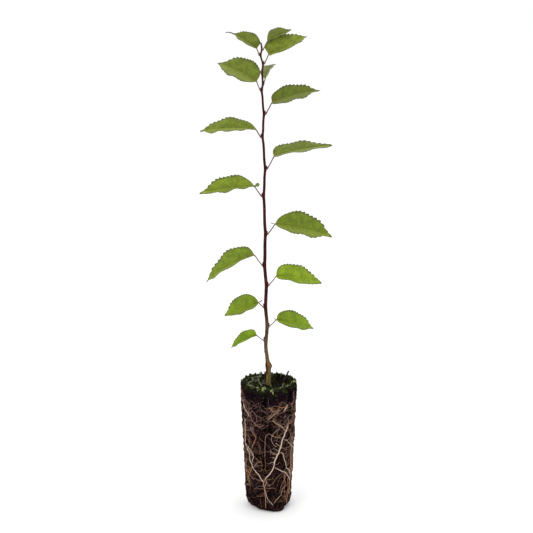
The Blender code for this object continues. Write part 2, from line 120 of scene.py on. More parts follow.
# Blades, by nearly the same rule as their solids. Lengths are shares of a blade's length, and the
# rise of a petiole is in degrees.
GAP = 0.3 * MM
TIP_POWER = 0.95
LOBE = 0.5
LOBED_BASE = 0.7
LOBE_REACH = 0.12
WAVE = 0.014
WAVES = 2.5
RUFFLE = 0.011
RUFFLES = 3.4
FOLD_AT_BASE = 1.10
FOLD_AT_TIP = 0.60
LEAF_PHASE = 1.54
PETIOLE_RISE_LOW = 34
PETIOLE_RISE_HIGH = 65

# Finer shape of the blades
TEETH = 16
TOOTH_STEPS = (0.0, 0.25, 0.5, 0.75, 0.88)
TOOTH_TIP = 0.75
TOOTH_DEPTH = 0.026
TOOTH_LEAN = 0.6
TIP_PINCH = 0.22
TIP_PINCH_AT = 0.90
TIP_PINCH_REACH = 0.08
ROW_POWER = 1.35
COLUMNS = (0, 0.04, 0.12, 0.22, 0.33, 0.44, 0.55, 0.66, 0.76, 0.85, 0.92, 0.97, 1.0)
BLADE_THICKNESS = 0.3 * MM
BLADE_TIP_WIDTH = 0.3 * MM
VEIN_SPACING = 0.125
VEIN_SLOPE = 0.95
QUILT = 0.009
CROWN = 0.12
PETIOLE_RADIUS = 0.64 * MM
RIB_RADIUS = 0.34 * MM
RIB_SHARE = 0.93

# Leaves from the lowest up. Node height over the plug's rim, petiole and blade in mm. Heading, pitch
# of the blade, roll of its face to the front and fold of its halves in degrees. Half the width of the
# blade and its arch are shares of its length. Base is the power by which the blade widens from its
# foot: the higher, the more wedge-shaped and the less lobed. Far and near are the widths of its two
# halves as shares of half. Ruffle is that of the near margin. Shade is the strength of its green, set
# to each leaf's brightness, so partly its own tint and partly painted light and shade. Light is
# painted light: how much lighter the near half is made.
Leaf = namedtuple(
    "Leaf", "node heading petiole blade half base pitch roll fold arch far near ruffle shade light"
)
LEAVES = (
    Leaf(40.2, 170, 8, 28, 0.285, 0.52, -29, 31, 42, 0.07, 1, 0.92, 0.6, 1.16, 0.4),
    Leaf(54, 12, 9, 37, 0.285, 0.58, -17, 40, 33, 0.05, 1.02, 1.01, 0.8, 1.05, 0.3),
    Leaf(72.6, 184, 6.3, 33.5, 0.32, 0.63, -21, 35, 33, 0.04, 1.10, 1, 0.8, 1.04, 0.3),
    Leaf(93, 16, 11.2, 45, 0.275, 0.56, -13, 38, 37, 0.04, 1.04, 0.92, 0.8, 1.34, 0.0),
    Leaf(112, 165, 12.2, 54, 0.27, 0.61, -32, 29, 35, 0.06, 1.02, 0.93, 0.2, 0.96, 0.5),
    Leaf(142, -8, 12, 53, 0.275, 0.66, -11, 35, 33, 0.03, 1.07, 0.94, 1.2, 0.82, 1.0),
    Leaf(177.3, 190, 11.5, 50.3, 0.255, 0.68, -6, 22, 34, 0.02, 1.05, 1.05, 1.1, 1.02, 0.1),
    Leaf(202.5, 8, 13.2, 54, 0.275, 0.57, 9, 8, 20, 0.02, 1, 1.2, 0.2, 0.79, 0.9),
    Leaf(231.7, 186, 8, 50, 0.25, 0.75, -1.5, 19, 27, 0.035, 1.04, 1.08, 1.7, 0.96, 0.9),
    Leaf(252.6, -7, 12.3, 43.5, 0.27, 0.58, 15, 34, 23, 0.03, 1.01, 0.92, 1.1, 0.68, 1.0),
    Leaf(273.5, 150, 8.8, 42, 0.32, 0.56, 18.5, 35, 32, 0.045, 1.07, 1, 1.4, 0.98, 0.9),
    Leaf(279, 58, 5.5, 21, 0.32, 0.60, 30, -10, 33, 0.12, 1, 1, 1.0, 1.0, 0.4),
    Leaf(297.5, 22, 9, 39, 0.30, 0.51, 21, 34, 35, 0.03, 1, 0.80, 0.8, 1.30, 0.2),
    Leaf(305, 165, 6.8, 25, 0.38, 0.55, 30, 32, 38, 0.03, 1, 0.88, 0.6, 1.02, 0.6),
    Leaf(310, 28, 8.3, 25.5, 0.34, 0.78, 20, 18, 33, 0.0, 1, 0.70, 0.6, 0.95, 0.4),
)

# Greens of the blades from above: the lowest, the middle and the highest leaf, and the pale one
LOW_GREEN = (0.150, 0.238, 0.006)
MID_GREEN = (0.162, 0.215, 0.012)
HIGH_GREEN = (0.122, 0.155, 0.015)
PALE_GREEN = (0.240, 0.275, 0.090)
PALE_LEAF = 12

# Small grey lobes that stick out towards the stem where some blades begin: leaf, length and radius in
# mm, and rise in degrees
Stub = namedtuple("Stub", "leaf length radius rise")
STUBS = (
    Stub(2, 2.8, 0.40, 34),
    Stub(3, 4.2, 0.50, 31),
    Stub(6, 4.6, 0.42, 12),
)
STUB_STEPS = (-0.1, 0.15, 0.4, 0.65, 0.82, 1.0)
STUB_SIZES = (0.9, 0.8, 0.8, 1.0, 1.1, 0.5)
CURLED_LEAF = 7
LOBE_CURL_RADIUS = 1.3 * MM
LOBE_CURL_STEPS = 27
LOBE_CURL_TURN = 3.6 * math.pi

# Dried drawn-out tips: leaf and length in mm. The longest is bent and belongs to one leaf alone.
Tail = namedtuple("Tail", "leaf length")
TAILS = (Tail(10, 1.6), Tail(11, 2.0), Tail(13, 1.0))
DRIED_LEAF = 14

# Camera of the photograph
CAMERA_PLACE = (-0.002, -1.5, 0.624)
CAMERA_TILT = 14.6
FOCAL_PIXELS = 1690
IMAGE_PIXELS = 533
SENSOR = 36

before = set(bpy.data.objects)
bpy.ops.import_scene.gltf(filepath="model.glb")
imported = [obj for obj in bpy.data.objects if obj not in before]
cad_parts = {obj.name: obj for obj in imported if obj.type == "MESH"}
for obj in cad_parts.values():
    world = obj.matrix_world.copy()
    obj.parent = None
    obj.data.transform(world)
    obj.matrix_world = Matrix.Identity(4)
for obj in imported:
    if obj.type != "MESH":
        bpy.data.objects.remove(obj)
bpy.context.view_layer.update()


# Shapes


class Pile:
    """Vertices and closed shapes of one joined mesh, with marks that its materials read."""

    def __init__(self):
        self.places = []
        self.faces = []
        self.marks = {}

    def add(self, places, faces, **marks):
        start = len(self.places)
        self.places.extend(places)
        self.faces.extend([tuple(start + corner for corner in face) for face in faces])
        for name, values in marks.items():
            self.marks.setdefault(name, []).extend(values)


def link_object(name, data):
    new = bpy.data.objects.new(name, data)
    bpy.context.scene.collection.objects.link(new)
    return new


def make_piece(name, pile, material, replaced=(), sharp_angle=180):
    mesh = bpy.data.meshes.new(name)
    mesh.from_pydata([tuple(place) for place in pile.places], [], pile.faces)
    shape = bmesh.new()
    shape.from_mesh(mesh)
    bmesh.ops.recalc_face_normals(shape, faces=shape.faces)
    shape.to_mesh(mesh)
    shape.free()
    for mark, values in pile.marks.items():
        layer = mesh.attributes.new(mark, "FLOAT_VECTOR", "POINT")
        layer.data.foreach_set("vector", [number for value in values for number in value])
    mesh.shade_smooth()
    if sharp_angle < 180:
        mesh.set_sharp_from_angle(angle=math.radians(sharp_angle))
    mesh.materials.append(material)
    piece = link_object(name, mesh)
    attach(piece, "root")
    if replaced:
        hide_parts(*replaced)


def heading_vector(heading, pitch=0.0):
    turn = math.radians(heading)
    rise = math.radians(pitch)
    return Vector((math.cos(turn) * math.cos(rise), math.sin(turn) * math.cos(rise), math.sin(rise)))


def blend(low, high, share):
    return low + (high - low) * share


def smooth_step(low, high, value):
    share = min(max((value - low) / (high - low), 0), 1)
    return share * share * (3 - 2 * share)


def bell(distance, reach):
    return math.exp(-((distance / reach) ** 2))


def rough(place, size, seed=0.0, octaves=3):
    """Smooth noise from -1 to 1, with lumps of about the given size."""
    return noise.fractal(place / size + Vector((seed, -seed, 2 * seed)), 0.6, 2.2, octaves)


def smooth_route(knots, step):
    """Points about a step apart on a smooth curve through the knots."""
    padded = [2 * knots[0] - knots[1], *knots, 2 * knots[-1] - knots[-2]]
    points = []
    for before, start, end, after in zip(padded, padded[1:], padded[2:], padded[3:]):
        count = max(1, round((end - start).length / step))
        for index in range(count):
            t = index / count
            bend = 2 * before - 5 * start + 4 * end - after
            twist = 3 * (start - end) + after - before
            points.append(0.5 * (2 * start + (end - before) * t + bend * t * t + twist * t ** 3))
    points.append(knots[-1])
    return points


def ring_faces(rings, sides):
    """Faces of a closed tube of rings, with a centre vertex at each end after the rings."""
    faces = []
    for ring in range(rings - 1):
        for side in range(sides):
            following = (side + 1) % sides
            low = ring * sides
            high = low + sides
            faces.append((low + side, low + following, high + following, high + side))
    last = (rings - 1) * sides
    for side in range(sides):
        following = (side + 1) % sides
        faces.append((rings * sides, following, side))
        faces.append((rings * sides + 1, last + side, last + following))
    return faces


def directions(points):
    ahead = points[1:] + points[-1:]
    behind = points[:1] + points[:-1]
    return [(later - earlier).normalized() for later, earlier in zip(ahead, behind)]


def add_tube(pile, points, radii, sides, flatten=1.0, **marks):
    """A closed tapering tube along the points. Flatten squeezes it across its first side direction."""
    ways = directions(points)
    side = ways[0].orthogonal().normalized()
    places = []
    for point, way, radius in zip(points, ways, radii):
        side = (side - side.dot(way) * way).normalized()
        other = way.cross(side)
        for index in range(sides):
            turn = 2 * math.pi * index / sides
            places.append(point + radius * (flatten * math.cos(turn) * side + math.sin(turn) * other))
    places.append(points[0])
    places.append(points[-1])
    spread = {}
    for name, values in marks.items():
        spread[name] = [value for value in values for _ in range(sides)] + [values[0], values[-1]]
    pile.add(places, ring_faces(len(points), sides), **spread)


def add_lump(pile, center, size, chance):
    """A small irregular crumb, flattened at random."""
    shape = bmesh.new()
    bmesh.ops.create_icosphere(shape, subdivisions=1, radius=1)
    squeeze = Vector([chance.uniform(0.6, 1.0) for _ in range(3)])
    turn = Matrix.Rotation(chance.uniform(0, 2 * math.pi), 3, Vector((1, chance.random(), 1)).normalized())
    places = []
    for vert in shape.verts:
        reach = size * (1 + chance.uniform(-CRUMB_LUMPS, CRUMB_LUMPS))
        places.append(center + turn @ Vector([reach * a * b for a, b in zip(vert.co, squeeze)]))
    pile.add(places, [[vert.index for vert in face.verts] for face in shape.faces])
    shape.free()


# Materials


class Graph:
    """A new material and its nodes. A value is a number, a colour or the output socket of a node."""

    def __init__(self, name, color, roughness, specular):
        self.material = bpy.data.materials.new(name)
        self.material.use_nodes = True
        self.tree = self.material.node_tree
        self.shader = self.tree.nodes["Principled BSDF"]
        self.set("Base Color", color)
        self.set("Roughness", roughness)
        self.set("Specular IOR Level", specular)

    def feed(self, socket, value):
        if isinstance(value, bpy.types.NodeSocket):
            self.tree.links.new(value, socket)
        else:
            socket.default_value = (*value, 1) if socket.type == "RGBA" else value

    def set(self, name, value):
        """Set or link an input of the shader."""
        self.feed(self.shader.inputs[name], value)

    def node(self, kind, inputs, **settings):
        """Outputs of a new node."""
        new = self.tree.nodes.new("ShaderNode" + kind)
        for name, value in settings.items():
            setattr(new, name, value)
        for name, value in inputs.items():
            self.feed(new.inputs[name], value)
        return new.outputs

    def math(self, operation, *values):
        return self.node("Math", dict(enumerate(values)), operation=operation)[0]

    def times(self, first, second):
        return self.math("MULTIPLY", first, second)

    def ramp(self, value, low, high, at_low=0.0, at_high=1.0):
        """A smooth change from one number to another while the value goes from low to high."""
        inputs = {0: value, 1: low, 2: high, 3: at_low, 4: at_high}
        return self.node("MapRange", inputs, interpolation_type="SMOOTHSTEP")[0]

    def mix(self, share, first, second):
        return self.node("Mix", {0: share, 6: first, 7: second}, data_type="RGBA")[2]

    def place(self):
        return self.node("TexCoord", {})["Object"]

    def mark(self, name):
        """A mark of the mesh, as a vector."""
        return self.node("Attribute", {}, attribute_name=name)["Vector"]

    def split(self, vector):
        return self.node("SeparateXYZ", {0: vector})

    def speckle(self, scale, detail, stretch=(1, 1, 1)):
        moved = self.node("Mapping", {"Vector": self.place(), "Scale": stretch})[0]
        return self.node("TexNoise", {"Vector": moved, "Scale": scale, "Detail": detail})[0]

    def bump(self, strength, distance, height):
        inputs = {"Strength": strength, "Distance": distance, "Height": height}
        self.set("Normal", self.node("Bump", inputs)[0])


def scaled(color, factor):
    return tuple(min(channel * factor, 1.0) for channel in color)


def leaf_material(name, green, near_painted_light):
    """Green blade with paler veins, a brown-orange foot of the midrib and a pale underside, its near half
    made lighter by painted light, and dark teeth and margin, partly their own colour and partly painted
    shade.
    """
    graph = Graph(name, green, 0.5, 0.2)
    blade = graph.mark("blade")
    along, across, under = graph.split(blade)
    margin, tooth, tail = graph.split(graph.mark("rim"))

    curve = graph.times(graph.times(across, across), VEIN_SLOPE)
    slant = graph.times(across, VEIN_SLOPE)
    lateral = graph.math("ADD", graph.math("SUBTRACT", along, slant), curve)
    away = graph.math("PINGPONG", lateral, VEIN_SPACING / 2)
    veins = graph.ramp(away, 0.002, 0.012, 1.0, 0.0)
    midrib = graph.ramp(across, 0.006, 0.020, 1.0, 0.0)
    cells = graph.node("TexVoronoi", {"Vector": blade, "Scale": 34.0}, feature="DISTANCE_TO_EDGE")
    net = graph.ramp(cells["Distance"], 0.0, 0.09, 1.0, 0.0)

    mottle = graph.ramp(graph.speckle(190.0, 4.0), 0.3, 0.7)
    color = graph.mix(mottle, scaled(green, 0.72), scaled(green, 1.20))
    # Painted light: the near half of the blade is made lighter, by as much as the leaf's light.
    near = graph.split(graph.mark("near"))[0]
    painted_light_green = (green[0] * 1.45 + 0.020, green[1] * 1.36 + 0.020, green[2] * 1.8 + 0.024)
    color = graph.mix(graph.times(near, 0.85 * near_painted_light), color, painted_light_green)
    blush = graph.ramp(graph.speckle(60.0, 1.0), 0.55, 0.75, 0.0, 0.35)
    color = graph.mix(blush, color, (green[0] * 1.25, green[1] * 0.95, green[2]))
    vein_green = (green[0] * 1.25 + 0.02, green[1] * 1.15 + 0.02, green[2] * 1.6 + 0.01)
    color = graph.mix(graph.times(net, 0.22), color, scaled(green, 0.72))
    color = graph.mix(graph.times(veins, 0.55), color, scaled(vein_green, 1.1))
    under_green = (green[0] * 0.95 + 0.05, green[1] * 0.95 + 0.06, green[2] + 0.045)
    under_color = graph.mix(graph.times(veins, 0.6), under_green, scaled(under_green, 1.3))
    color = graph.mix(under, color, under_color)
    color = graph.mix(graph.times(midrib, 0.8), color, scaled(vein_green, 1.5))
    near_base = graph.ramp(along, 0.0, 0.22, 1.0, 0.0)
    near_rib = graph.ramp(across, 0.0, 0.05, 1.0, 0.0)
    foot = graph.times(graph.times(near_base, near_rib), 0.45)
    color = graph.mix(foot, color, (0.28, 0.13, 0.03))
    # Dark margin and teeth: partly the teeth's own dark tips, partly painted shade along the edge. The dried
    # tail is its own colour.
    marked = graph.math("MAXIMUM", tooth, tail)
    edge = graph.math("MAXIMUM", graph.times(margin, 0.45), marked)
    color = graph.mix(edge, color, (0.030, 0.034, 0.018))
    graph.set("Base Color", color)

    relief = graph.times(graph.math("MAXIMUM", veins, midrib), -1.0)
    relief = graph.math("SUBTRACT", relief, graph.times(net, 0.35))
    graph.bump(0.8, 0.3 * MM, relief)
    return graph.material


def petiole_material():
    """Thin stalk, dull red at the stem, mauve-grey in the middle and green along the rib."""
    graph = Graph("petiole", (0.30, 0.16, 0.14), 0.45, 0.4)
    along = graph.split(graph.mark("stalk"))[0]
    color = graph.mix(graph.ramp(along, 0.0, 0.5), (0.090, 0.024, 0.022), (0.150, 0.082, 0.080))
    color = graph.mix(graph.ramp(along, 0.9, 1.25), color, (0.200, 0.225, 0.060))
    graph.set("Base Color", color)
    return graph.material


def bark_material():
    """Smooth young bark: ochre at the soil, brown above it and dark maroon up the shoot, with lenticels."""
    graph = Graph("bark", (0.04, 0.007, 0.006), 0.6, 0.05)
    place = graph.place()
    sideways, _, height = graph.split(place)
    streaks = graph.speckle(900.0, 4.0, (1, 1, 0.12))
    shade = graph.ramp(streaks, 0.3, 0.7)
    blotches = graph.speckle(90.0, 2.0, (1, 1, 0.5))
    uneven = graph.math("MULTIPLY_ADD", blotches, BARK_BLOTCH, height)
    color = graph.mix(shade, *SOIL_BARK)
    for low, high, dark, light in BARK_LAYERS:
        taken = graph.ramp(uneven, PLUG_HEIGHT + low * MM, PLUG_HEIGHT + high * MM)
        color = graph.mix(taken, color, graph.mix(shade, dark, light))
    left = graph.ramp(sideways, -2.2 * MM, 0.1 * MM, 0.9, 0.0)
    above = graph.ramp(height, KNOT_HEIGHT - 10 * MM, KNOT_HEIGHT - 7 * MM)
    below = graph.ramp(height, KNOT_HEIGHT, KNOT_HEIGHT + 6 * MM, 1.0, 0.0)
    scar = graph.times(left, graph.times(above, below))
    color = graph.mix(scar, color, (0.028, 0.007, 0.003))
    spots = graph.node("TexVoronoi", {"Vector": place, "Scale": 330.0})
    lenticels = graph.ramp(spots["Distance"], 0.10, 0.20, 0.5, 0.0)
    color = graph.mix(lenticels, color, (0.180, 0.120, 0.080))
    graph.set("Base Color", color)
    graph.bump(0.4, 0.15 * MM, streaks)
    return graph.material


def peat_material():
    """Damp black-brown peat with painted shade in its hollows and creases, and lighter crumbs and fibres."""
    graph = Graph("peat", (0.012, 0.006, 0.005), 0.9, 0.0)
    level = graph.split(graph.mark("lump"))[0]
    grain = graph.speckle(900.0, 5.0)
    patches = graph.speckle(110.0, 3.0)
    color = graph.mix(graph.ramp(grain, 0.35, 0.7), (0.003, 0.0012, 0.0010), (0.028, 0.013, 0.011))
    color = graph.mix(graph.ramp(patches, 0.45, 0.7, 0.0, 0.6), color, (0.012, 0.007, 0.011))
    height = graph.split(graph.place())[2]
    # Darker and more purple towards the top of the plug.
    upper_tint = graph.ramp(height, PLUG_HEIGHT - 30 * MM, PLUG_HEIGHT - 16 * MM, 0.0, 0.5)
    color = graph.mix(upper_tint, color, (0.006, 0.0035, 0.0075))
    # Painted shade: where the mark is low, in hollows and creases, the peat goes nearly black.
    color = graph.mix(graph.ramp(level, -0.6, 0.4, 0.7, 0.0), color, (0.0015, 0.0008, 0.0008))
    mossy = graph.ramp(graph.speckle(240.0, 3.0), 0.46, 0.62, 0.0, 0.8)
    rim = graph.ramp(height, PLUG_HEIGHT - 5 * MM, PLUG_HEIGHT - 1 * MM)
    color = graph.mix(graph.times(mossy, rim), color, (0.030, 0.036, 0.008))
    graph.set("Base Color", color)
    graph.bump(0.8, 0.5 * MM, grain)
    return graph.material


# Stem


def node_height(leaf):
    return PLUG_HEIGHT + leaf.node * MM


def stem_sway(height):
    """Shift of the bark from the middle of its solid. The feet of the blades don't follow it."""
    rise = (height - PLUG_HEIGHT) / MM
    shift = sum(size * bell(rise - middle, reach) for middle, reach, size in STEM_SWAYS)
    return Vector((shift * MM, 0, 0))


def stem_center(height):
    share = max(height - LEAN_START, 0) / (STEM_TIP - LEAN_START)
    center = Vector((-LEAN * share ** LEAN_POWER - BEND * bell(height - BEND_HEIGHT, BEND_REACH), 0, height))
    for leaf in LEAVES:
        share = leaf.node / LEAVES[-1].node
        step = blend(ZIGZAG_LOW, ZIGZAG_HIGH, share)
        span = blend(ZIGZAG_REACH_LOW, ZIGZAG_REACH_HIGH, share)
        center += step * bell(height - node_height(leaf), span) * heading_vector(leaf.heading)
    return center + stem_sway(height)


def stem_radius(height):
    share = min(max((height - SHOOT_FOOT) / (STEM_TIP - SHOOT_FOOT), 0), 1)
    shoot = blend(TIP_RADIUS, SHOOT_RADIUS, (1 - share) ** TAPER_POWER)
    collar = min(max((SHOOT_FOOT - height) / (SHOOT_FOOT - KNOT_HEIGHT), 0), 1)
    flare = FLARE * math.exp(-max(height - SOIL, 0) / FLARE_HEIGHT)
    return shoot + (FOOT_RADIUS - SHOOT_RADIUS) * collar + flare


def bark_radius(height, heading, place):
    """Radius of the bark: ribs and fine grain, cushions under the petioles, and the knot."""
    radius = stem_radius(height)
    twist = 3 * math.sin(height / (14 * MM))
    radius += BARK_RIB_HEIGHT * math.sin(BARK_RIBS * math.radians(heading) + twist)
    radius += BARK_GRAIN * rough(Vector((place.x, place.y, 0.35 * place.z)), 1.2 * MM, 3.1)
    for leaf in LEAVES:
        below = height - node_height(leaf) + 0.3 * MM
        if abs(below) < 3 * CUSHION_LENGTH:
            facing = max(heading_vector(heading).dot(heading_vector(leaf.heading)), 0) ** 2
            radius += CUSHION_SWELL * facing * bell(below, CUSHION_LENGTH)
    facing = max(heading_vector(heading).dot(heading_vector(KNOT_HEADING)), 0)
    radius += KNOT_SWELL * (0.35 + 2.1 * facing) * bell(height - KNOT_HEIGHT, KNOT_LENGTH)
    radius += BARK_RISE * (1 - smooth_step(BARK_FADE_START, BARK_FADE_END, height))
    wrinkles = WRINKLE_HEIGHT * math.sin(height / WRINKLE_PITCH + math.radians(heading))
    return radius + wrinkles * bell(height - KNOT_HEIGHT + 1 * MM, 2 * KNOT_LENGTH)


def add_bud(pile, foot, axis, out, length, radius):
    """A pointed bud of overlapping scales, leaning on the stem."""
    rings = 12
    sides = 10
    points = []
    radii = []
    for ring in range(rings):
        share = ring / (rings - 1)
        scales = 1 + 0.10 * ((3 * share) % 1.0)
        profile = math.sin(math.pi * min(share * 0.80 + 0.20, 1)) ** 0.8
        points.append(foot + length * share * axis + 0.25 * radius * math.sin(math.pi * share) * out)
        radii.append(max(radius * profile * scales, 0.02 * MM))
    add_tube(pile, points, radii, sides)


def make_stem(material):
    """The bark. Returns the buds in the axils and the scars, which have a material of their own."""
    pile = Pile()
    count = math.ceil((STEM_TIP - STEM_BOTTOM) / STEM_STEP)
    places = []
    for ring in range(count + 1):
        height = blend(STEM_BOTTOM, STEM_TIP, ring / count)
        center = stem_center(height)
        for side in range(STEM_SIDES):
            heading = 360 * side / STEM_SIDES
            rim = center + stem_radius(height) * heading_vector(heading)
            places.append(center + bark_radius(height, heading, rim) * heading_vector(heading))
    places.append(stem_center(STEM_BOTTOM))
    places.append(stem_center(STEM_TIP) + 0.3 * MM * UP)
    pile.add(places, ring_faces(count + 1, STEM_SIDES))
    make_piece("stem_bark", pile, material, ("stem",))

    buds = Pile()
    for index, leaf in enumerate(LEAVES[:-1]):
        height = node_height(leaf) + 0.6 * MM
        out = heading_vector(leaf.heading)
        foot = stem_center(height) + 0.80 * stem_radius(height) * out
        size = blend(1.0, 0.7, index / len(LEAVES))
        axis = heading_vector(leaf.heading, BUD_PITCH)
        add_bud(buds, foot, axis, out, BUD_LENGTH * size, BUD_RADIUS * size)
    for rise, heading in SCARS:
        height = KNOT_HEIGHT + rise * MM
        out = heading_vector(heading)
        foot = stem_center(height) + 0.85 * stem_radius(height) * out
        add_bud(buds, foot, heading_vector(heading, 60), out, 1.3 * MM, 0.6 * MM)
    return buds


# Leaves


Frame = namedtuple("Frame", "foot base along face back")


def leaf_frame(leaf):
    """Foot of a petiole, foot of its blade, and the blade's directions: along it, out of its face, back."""
    height = node_height(leaf)
    lowest = LEAVES[0].node
    share = (leaf.node - lowest) / (LEAVES[-1].node - lowest)
    rise = blend(PETIOLE_RISE_LOW, PETIOLE_RISE_HIGH, math.sqrt(share))
    stand = stem_radius(height) + GAP + 0.48 * MM * math.sin(math.radians(rise))
    foot = stem_center(height) + stand * heading_vector(leaf.heading)
    base = foot + leaf.petiole * MM * heading_vector(leaf.heading, rise) - stem_sway(height)
    along = heading_vector(leaf.heading, leaf.pitch)
    level = (UP - UP.dot(along) * along).normalized()
    to_back = level.cross(along)
    if to_back.y < 0:
        to_back = -to_back
    roll = math.radians(leaf.roll)
    face = level * math.cos(roll) - to_back * math.sin(roll)
    back = to_back * math.cos(roll) + level * math.sin(roll)
    return Frame(foot, base, along, face, back)


def half_width(leaf, u):
    widest = leaf.base / (leaf.base + TIP_POWER)
    return leaf.half * (u / widest) ** leaf.base * ((1 - u) / (1 - widest)) ** TIP_POWER


def rib_point(leaf, axes, u):
    length = leaf.blade * MM
    return axes.base + u * length * axes.along + leaf.arch * length * 4 * u * (1 - u) * axes.face


def blade_rows():
    """Shares of a blade's length from base to tip, each with how far the margin stands out as a tooth."""
    rows = [(0.0, 0.0)]
    for tooth in range(TEETH):
        for step in TOOTH_STEPS:
            share = (tooth + step) / TEETH
            out = step / TOOTH_TIP if step <= TOOTH_TIP else (1 - step) / (1 - TOOTH_TIP)
            if share > 0:
                rows.append((share ** ROW_POWER, out))
    rows.append((1.0, 0.0))
    return rows


def blade_place(leaf, axes, phase, u, v, tooth):
    """Point of the middle of the blade, and its along and across shares, for the veins."""
    length = leaf.blade * MM
    reach = abs(v)
    near_margin = smooth_step(0.88, 1.0, reach)
    size = min(1.0, 6 * u + 0.15, 4 * (1 - u) + 0.05)
    out = TOOTH_DEPTH * size * near_margin * tooth
    pinch = 1 - TIP_PINCH * bell(u - TIP_PINCH_AT, TIP_PINCH_REACH)
    share = leaf.near if v < 0 else leaf.far
    width = max(share * half_width(leaf, u) * length * pinch, BLADE_TIP_WIDTH / 2) / length
    lobe = LOBE * max(LOBED_BASE - leaf.base, 0) * u / LOBE_REACH * math.exp(1 - u / LOBE_REACH)
    along = u - reach * lobe + TOOTH_LEAN * out
    across = reach * (width - 0.5 * TOOTH_DEPTH * size) + out
    fold = math.radians(leaf.fold) * blend(FOLD_AT_BASE, FOLD_AT_TIP, u)
    crown = fold * (1 + CROWN * (1 - 2 * reach))
    wave = WAVE * math.sin(2 * math.pi * WAVES * u + phase + v) * v * v
    if v < 0:
        ruffle = RUFFLE * leaf.ruffle
        wave += ruffle * math.sin(2 * math.pi * RUFFLES * u + 2 * phase) * v ** 4
    lateral = along - VEIN_SLOPE * across + VEIN_SLOPE * across * across
    quilt = QUILT * abs(math.sin(math.pi * lateral / VEIN_SPACING)) ** 0.7
    quilt *= math.sin(math.pi * min(reach, 0.97)) ** 0.5 * min(1, 8 * width)
    rise = across * math.sin(crown) + wave + quilt
    place = rib_point(leaf, axes, u) + length * (along - u) * axes.along
    place += length * (math.copysign(across, v) * math.cos(crown) * axes.back + rise * axes.face)
    return place, along, across


def add_blade(pile, leaf, axes, phase):
    """The toothed blade: one grid for its upper side, one for its underside, and the margin between."""
    rows = blade_rows()
    columns = [-v for v in reversed(COLUMNS[1:])] + list(COLUMNS)
    wide = len(columns)
    middle = []
    blade = []
    rim = []
    near = []
    for u, tooth in rows:
        for v in columns:
            place, along, across = blade_place(leaf, axes, phase, u, v, tooth)
            middle.append(place)
            blade.append((along, across))
            # Marks the near half, which the material makes lighter as painted light.
            near.append((0.5 - 0.5 * math.copysign(min(abs(v) * 25, 1), v), 0, 0))
            margin = smooth_step(0.83, 0.99, abs(v))
            tip = smooth_step(0.94, 0.98, u)
            rim.append((margin, 0.9 * margin * smooth_step(0.2, 0.9, tooth), 0.9 * tip))
    normals = []
    for row in range(len(rows)):
        for column in range(wide):
            corner = row * wide + column
            below = middle[max(row - 1, 0) * wide + column]
            above = middle[min(row + 1, len(rows) - 1) * wide + column]
            before = middle[corner - (column > 0)]
            after = middle[corner + (column < wide - 1)]
            normal = (above - below).cross(after - before)
            if normal.length_squared < 1e-24:
                normal = axes.face.copy()
            if normal.dot(axes.face) < 0:
                normal = -normal
            normals.append(normal.normalized())
    half = BLADE_THICKNESS / 2
    places = [place + half * normal for place, normal in zip(middle, normals)]
    places += [place - half * normal for place, normal in zip(middle, normals)]
    lower = len(middle)
    faces = []
    for row in range(len(rows) - 1):
        for column in range(wide - 1):
            corner = row * wide + column
            square = (corner, corner + 1, corner + wide + 1, corner + wide)
            faces.append(square)
            faces.append(tuple(lower + index for index in reversed(square)))
    last = (len(rows) - 1) * wide
    border = list(range(wide))
    border += [row * wide + wide - 1 for row in range(1, len(rows))]
    border += [last + column for column in range(wide - 2, -1, -1)]
    border += [row * wide for row in range(len(rows) - 2, 0, -1)]
    for first, second in zip(border, border[1:] + border[:1]):
        faces.append((second, first, lower + first, lower + second))
    marks = [(x, y, 0.0) for x, y in blade] + [(x, y, 1.0) for x, y in blade]
    pile.add(places, faces, blade=marks, rim=rim + rim, near=near + near)


def add_petiole(pile, leaf, axes):
    """The petiole from inside the stem to the blade, running on under it as its midrib."""
    height = node_height(leaf)
    start = stem_center(height) + 0.5 * stem_radius(height) * heading_vector(leaf.heading)
    sag = 0.03 * leaf.petiole * MM * UP
    middle = axes.foot.lerp(axes.base, 0.5) - sag
    knots = [start - 0.3 * MM * UP, axes.foot, middle, axes.base - 0.25 * MM * axes.face]
    shares = (0.06, 0.14, 0.25, 0.4, 0.55, 0.7, 0.82, RIB_SHARE)
    knots += [rib_point(leaf, axes, share) - 0.20 * MM * axes.face for share in shares]
    points = smooth_route(knots, 0.8 * MM)
    radii = []
    marks = []
    for point in points:
        beyond = (point - axes.base).dot(axes.along) / (leaf.blade * MM)
        run = (point - axes.foot).length / (axes.base - axes.foot).length
        if beyond <= 0 or run < 1:
            radius = PETIOLE_RADIUS * (1 + 0.5 * bell(run, 0.10) + 0.25 * bell(run - 1, 0.10))
            marks.append((run, 0, 0))
        else:
            radius = blend(RIB_RADIUS * 1.3, 0.08 * MM, min(beyond / RIB_SHARE, 1) ** 0.7)
            marks.append((1 + beyond, 0, 0))
        radii.append(radius * blend(0.75, 1.0, min(leaf.blade / 50, 1)))
    add_tube(pile, points, radii, 8, 0.8, stalk=marks)


def leaf_green(index):
    if index + 1 == PALE_LEAF:
        return PALE_GREEN
    height = index / (len(LEAVES) - 1)
    low = [blend(a, b, min(2 * height, 1)) for a, b in zip(LOW_GREEN, MID_GREEN)]
    green = [blend(a, b, max(2 * height - 1, 0) ** 0.7) for a, b in zip(low, HIGH_GREEN)]
    return scaled(green, LEAVES[index].shade)


def make_leaves():
    stalk = petiole_material()
    for index, leaf in enumerate(LEAVES):
        number = index + 1
        axes = leaf_frame(leaf)
        pile = Pile()
        add_blade(pile, leaf, axes, LEAF_PHASE * index)
        material = leaf_material("leaf_green_%02d" % number, leaf_green(index), leaf.light)
        make_piece("blade_%02d" % number, pile, material, ("leaf_%02d" % number,), 70)
        pile = Pile()
        add_petiole(pile, leaf, axes)
        make_piece("petiole_%02d" % number, pile, stalk, ("leaf_%02d" % number,))


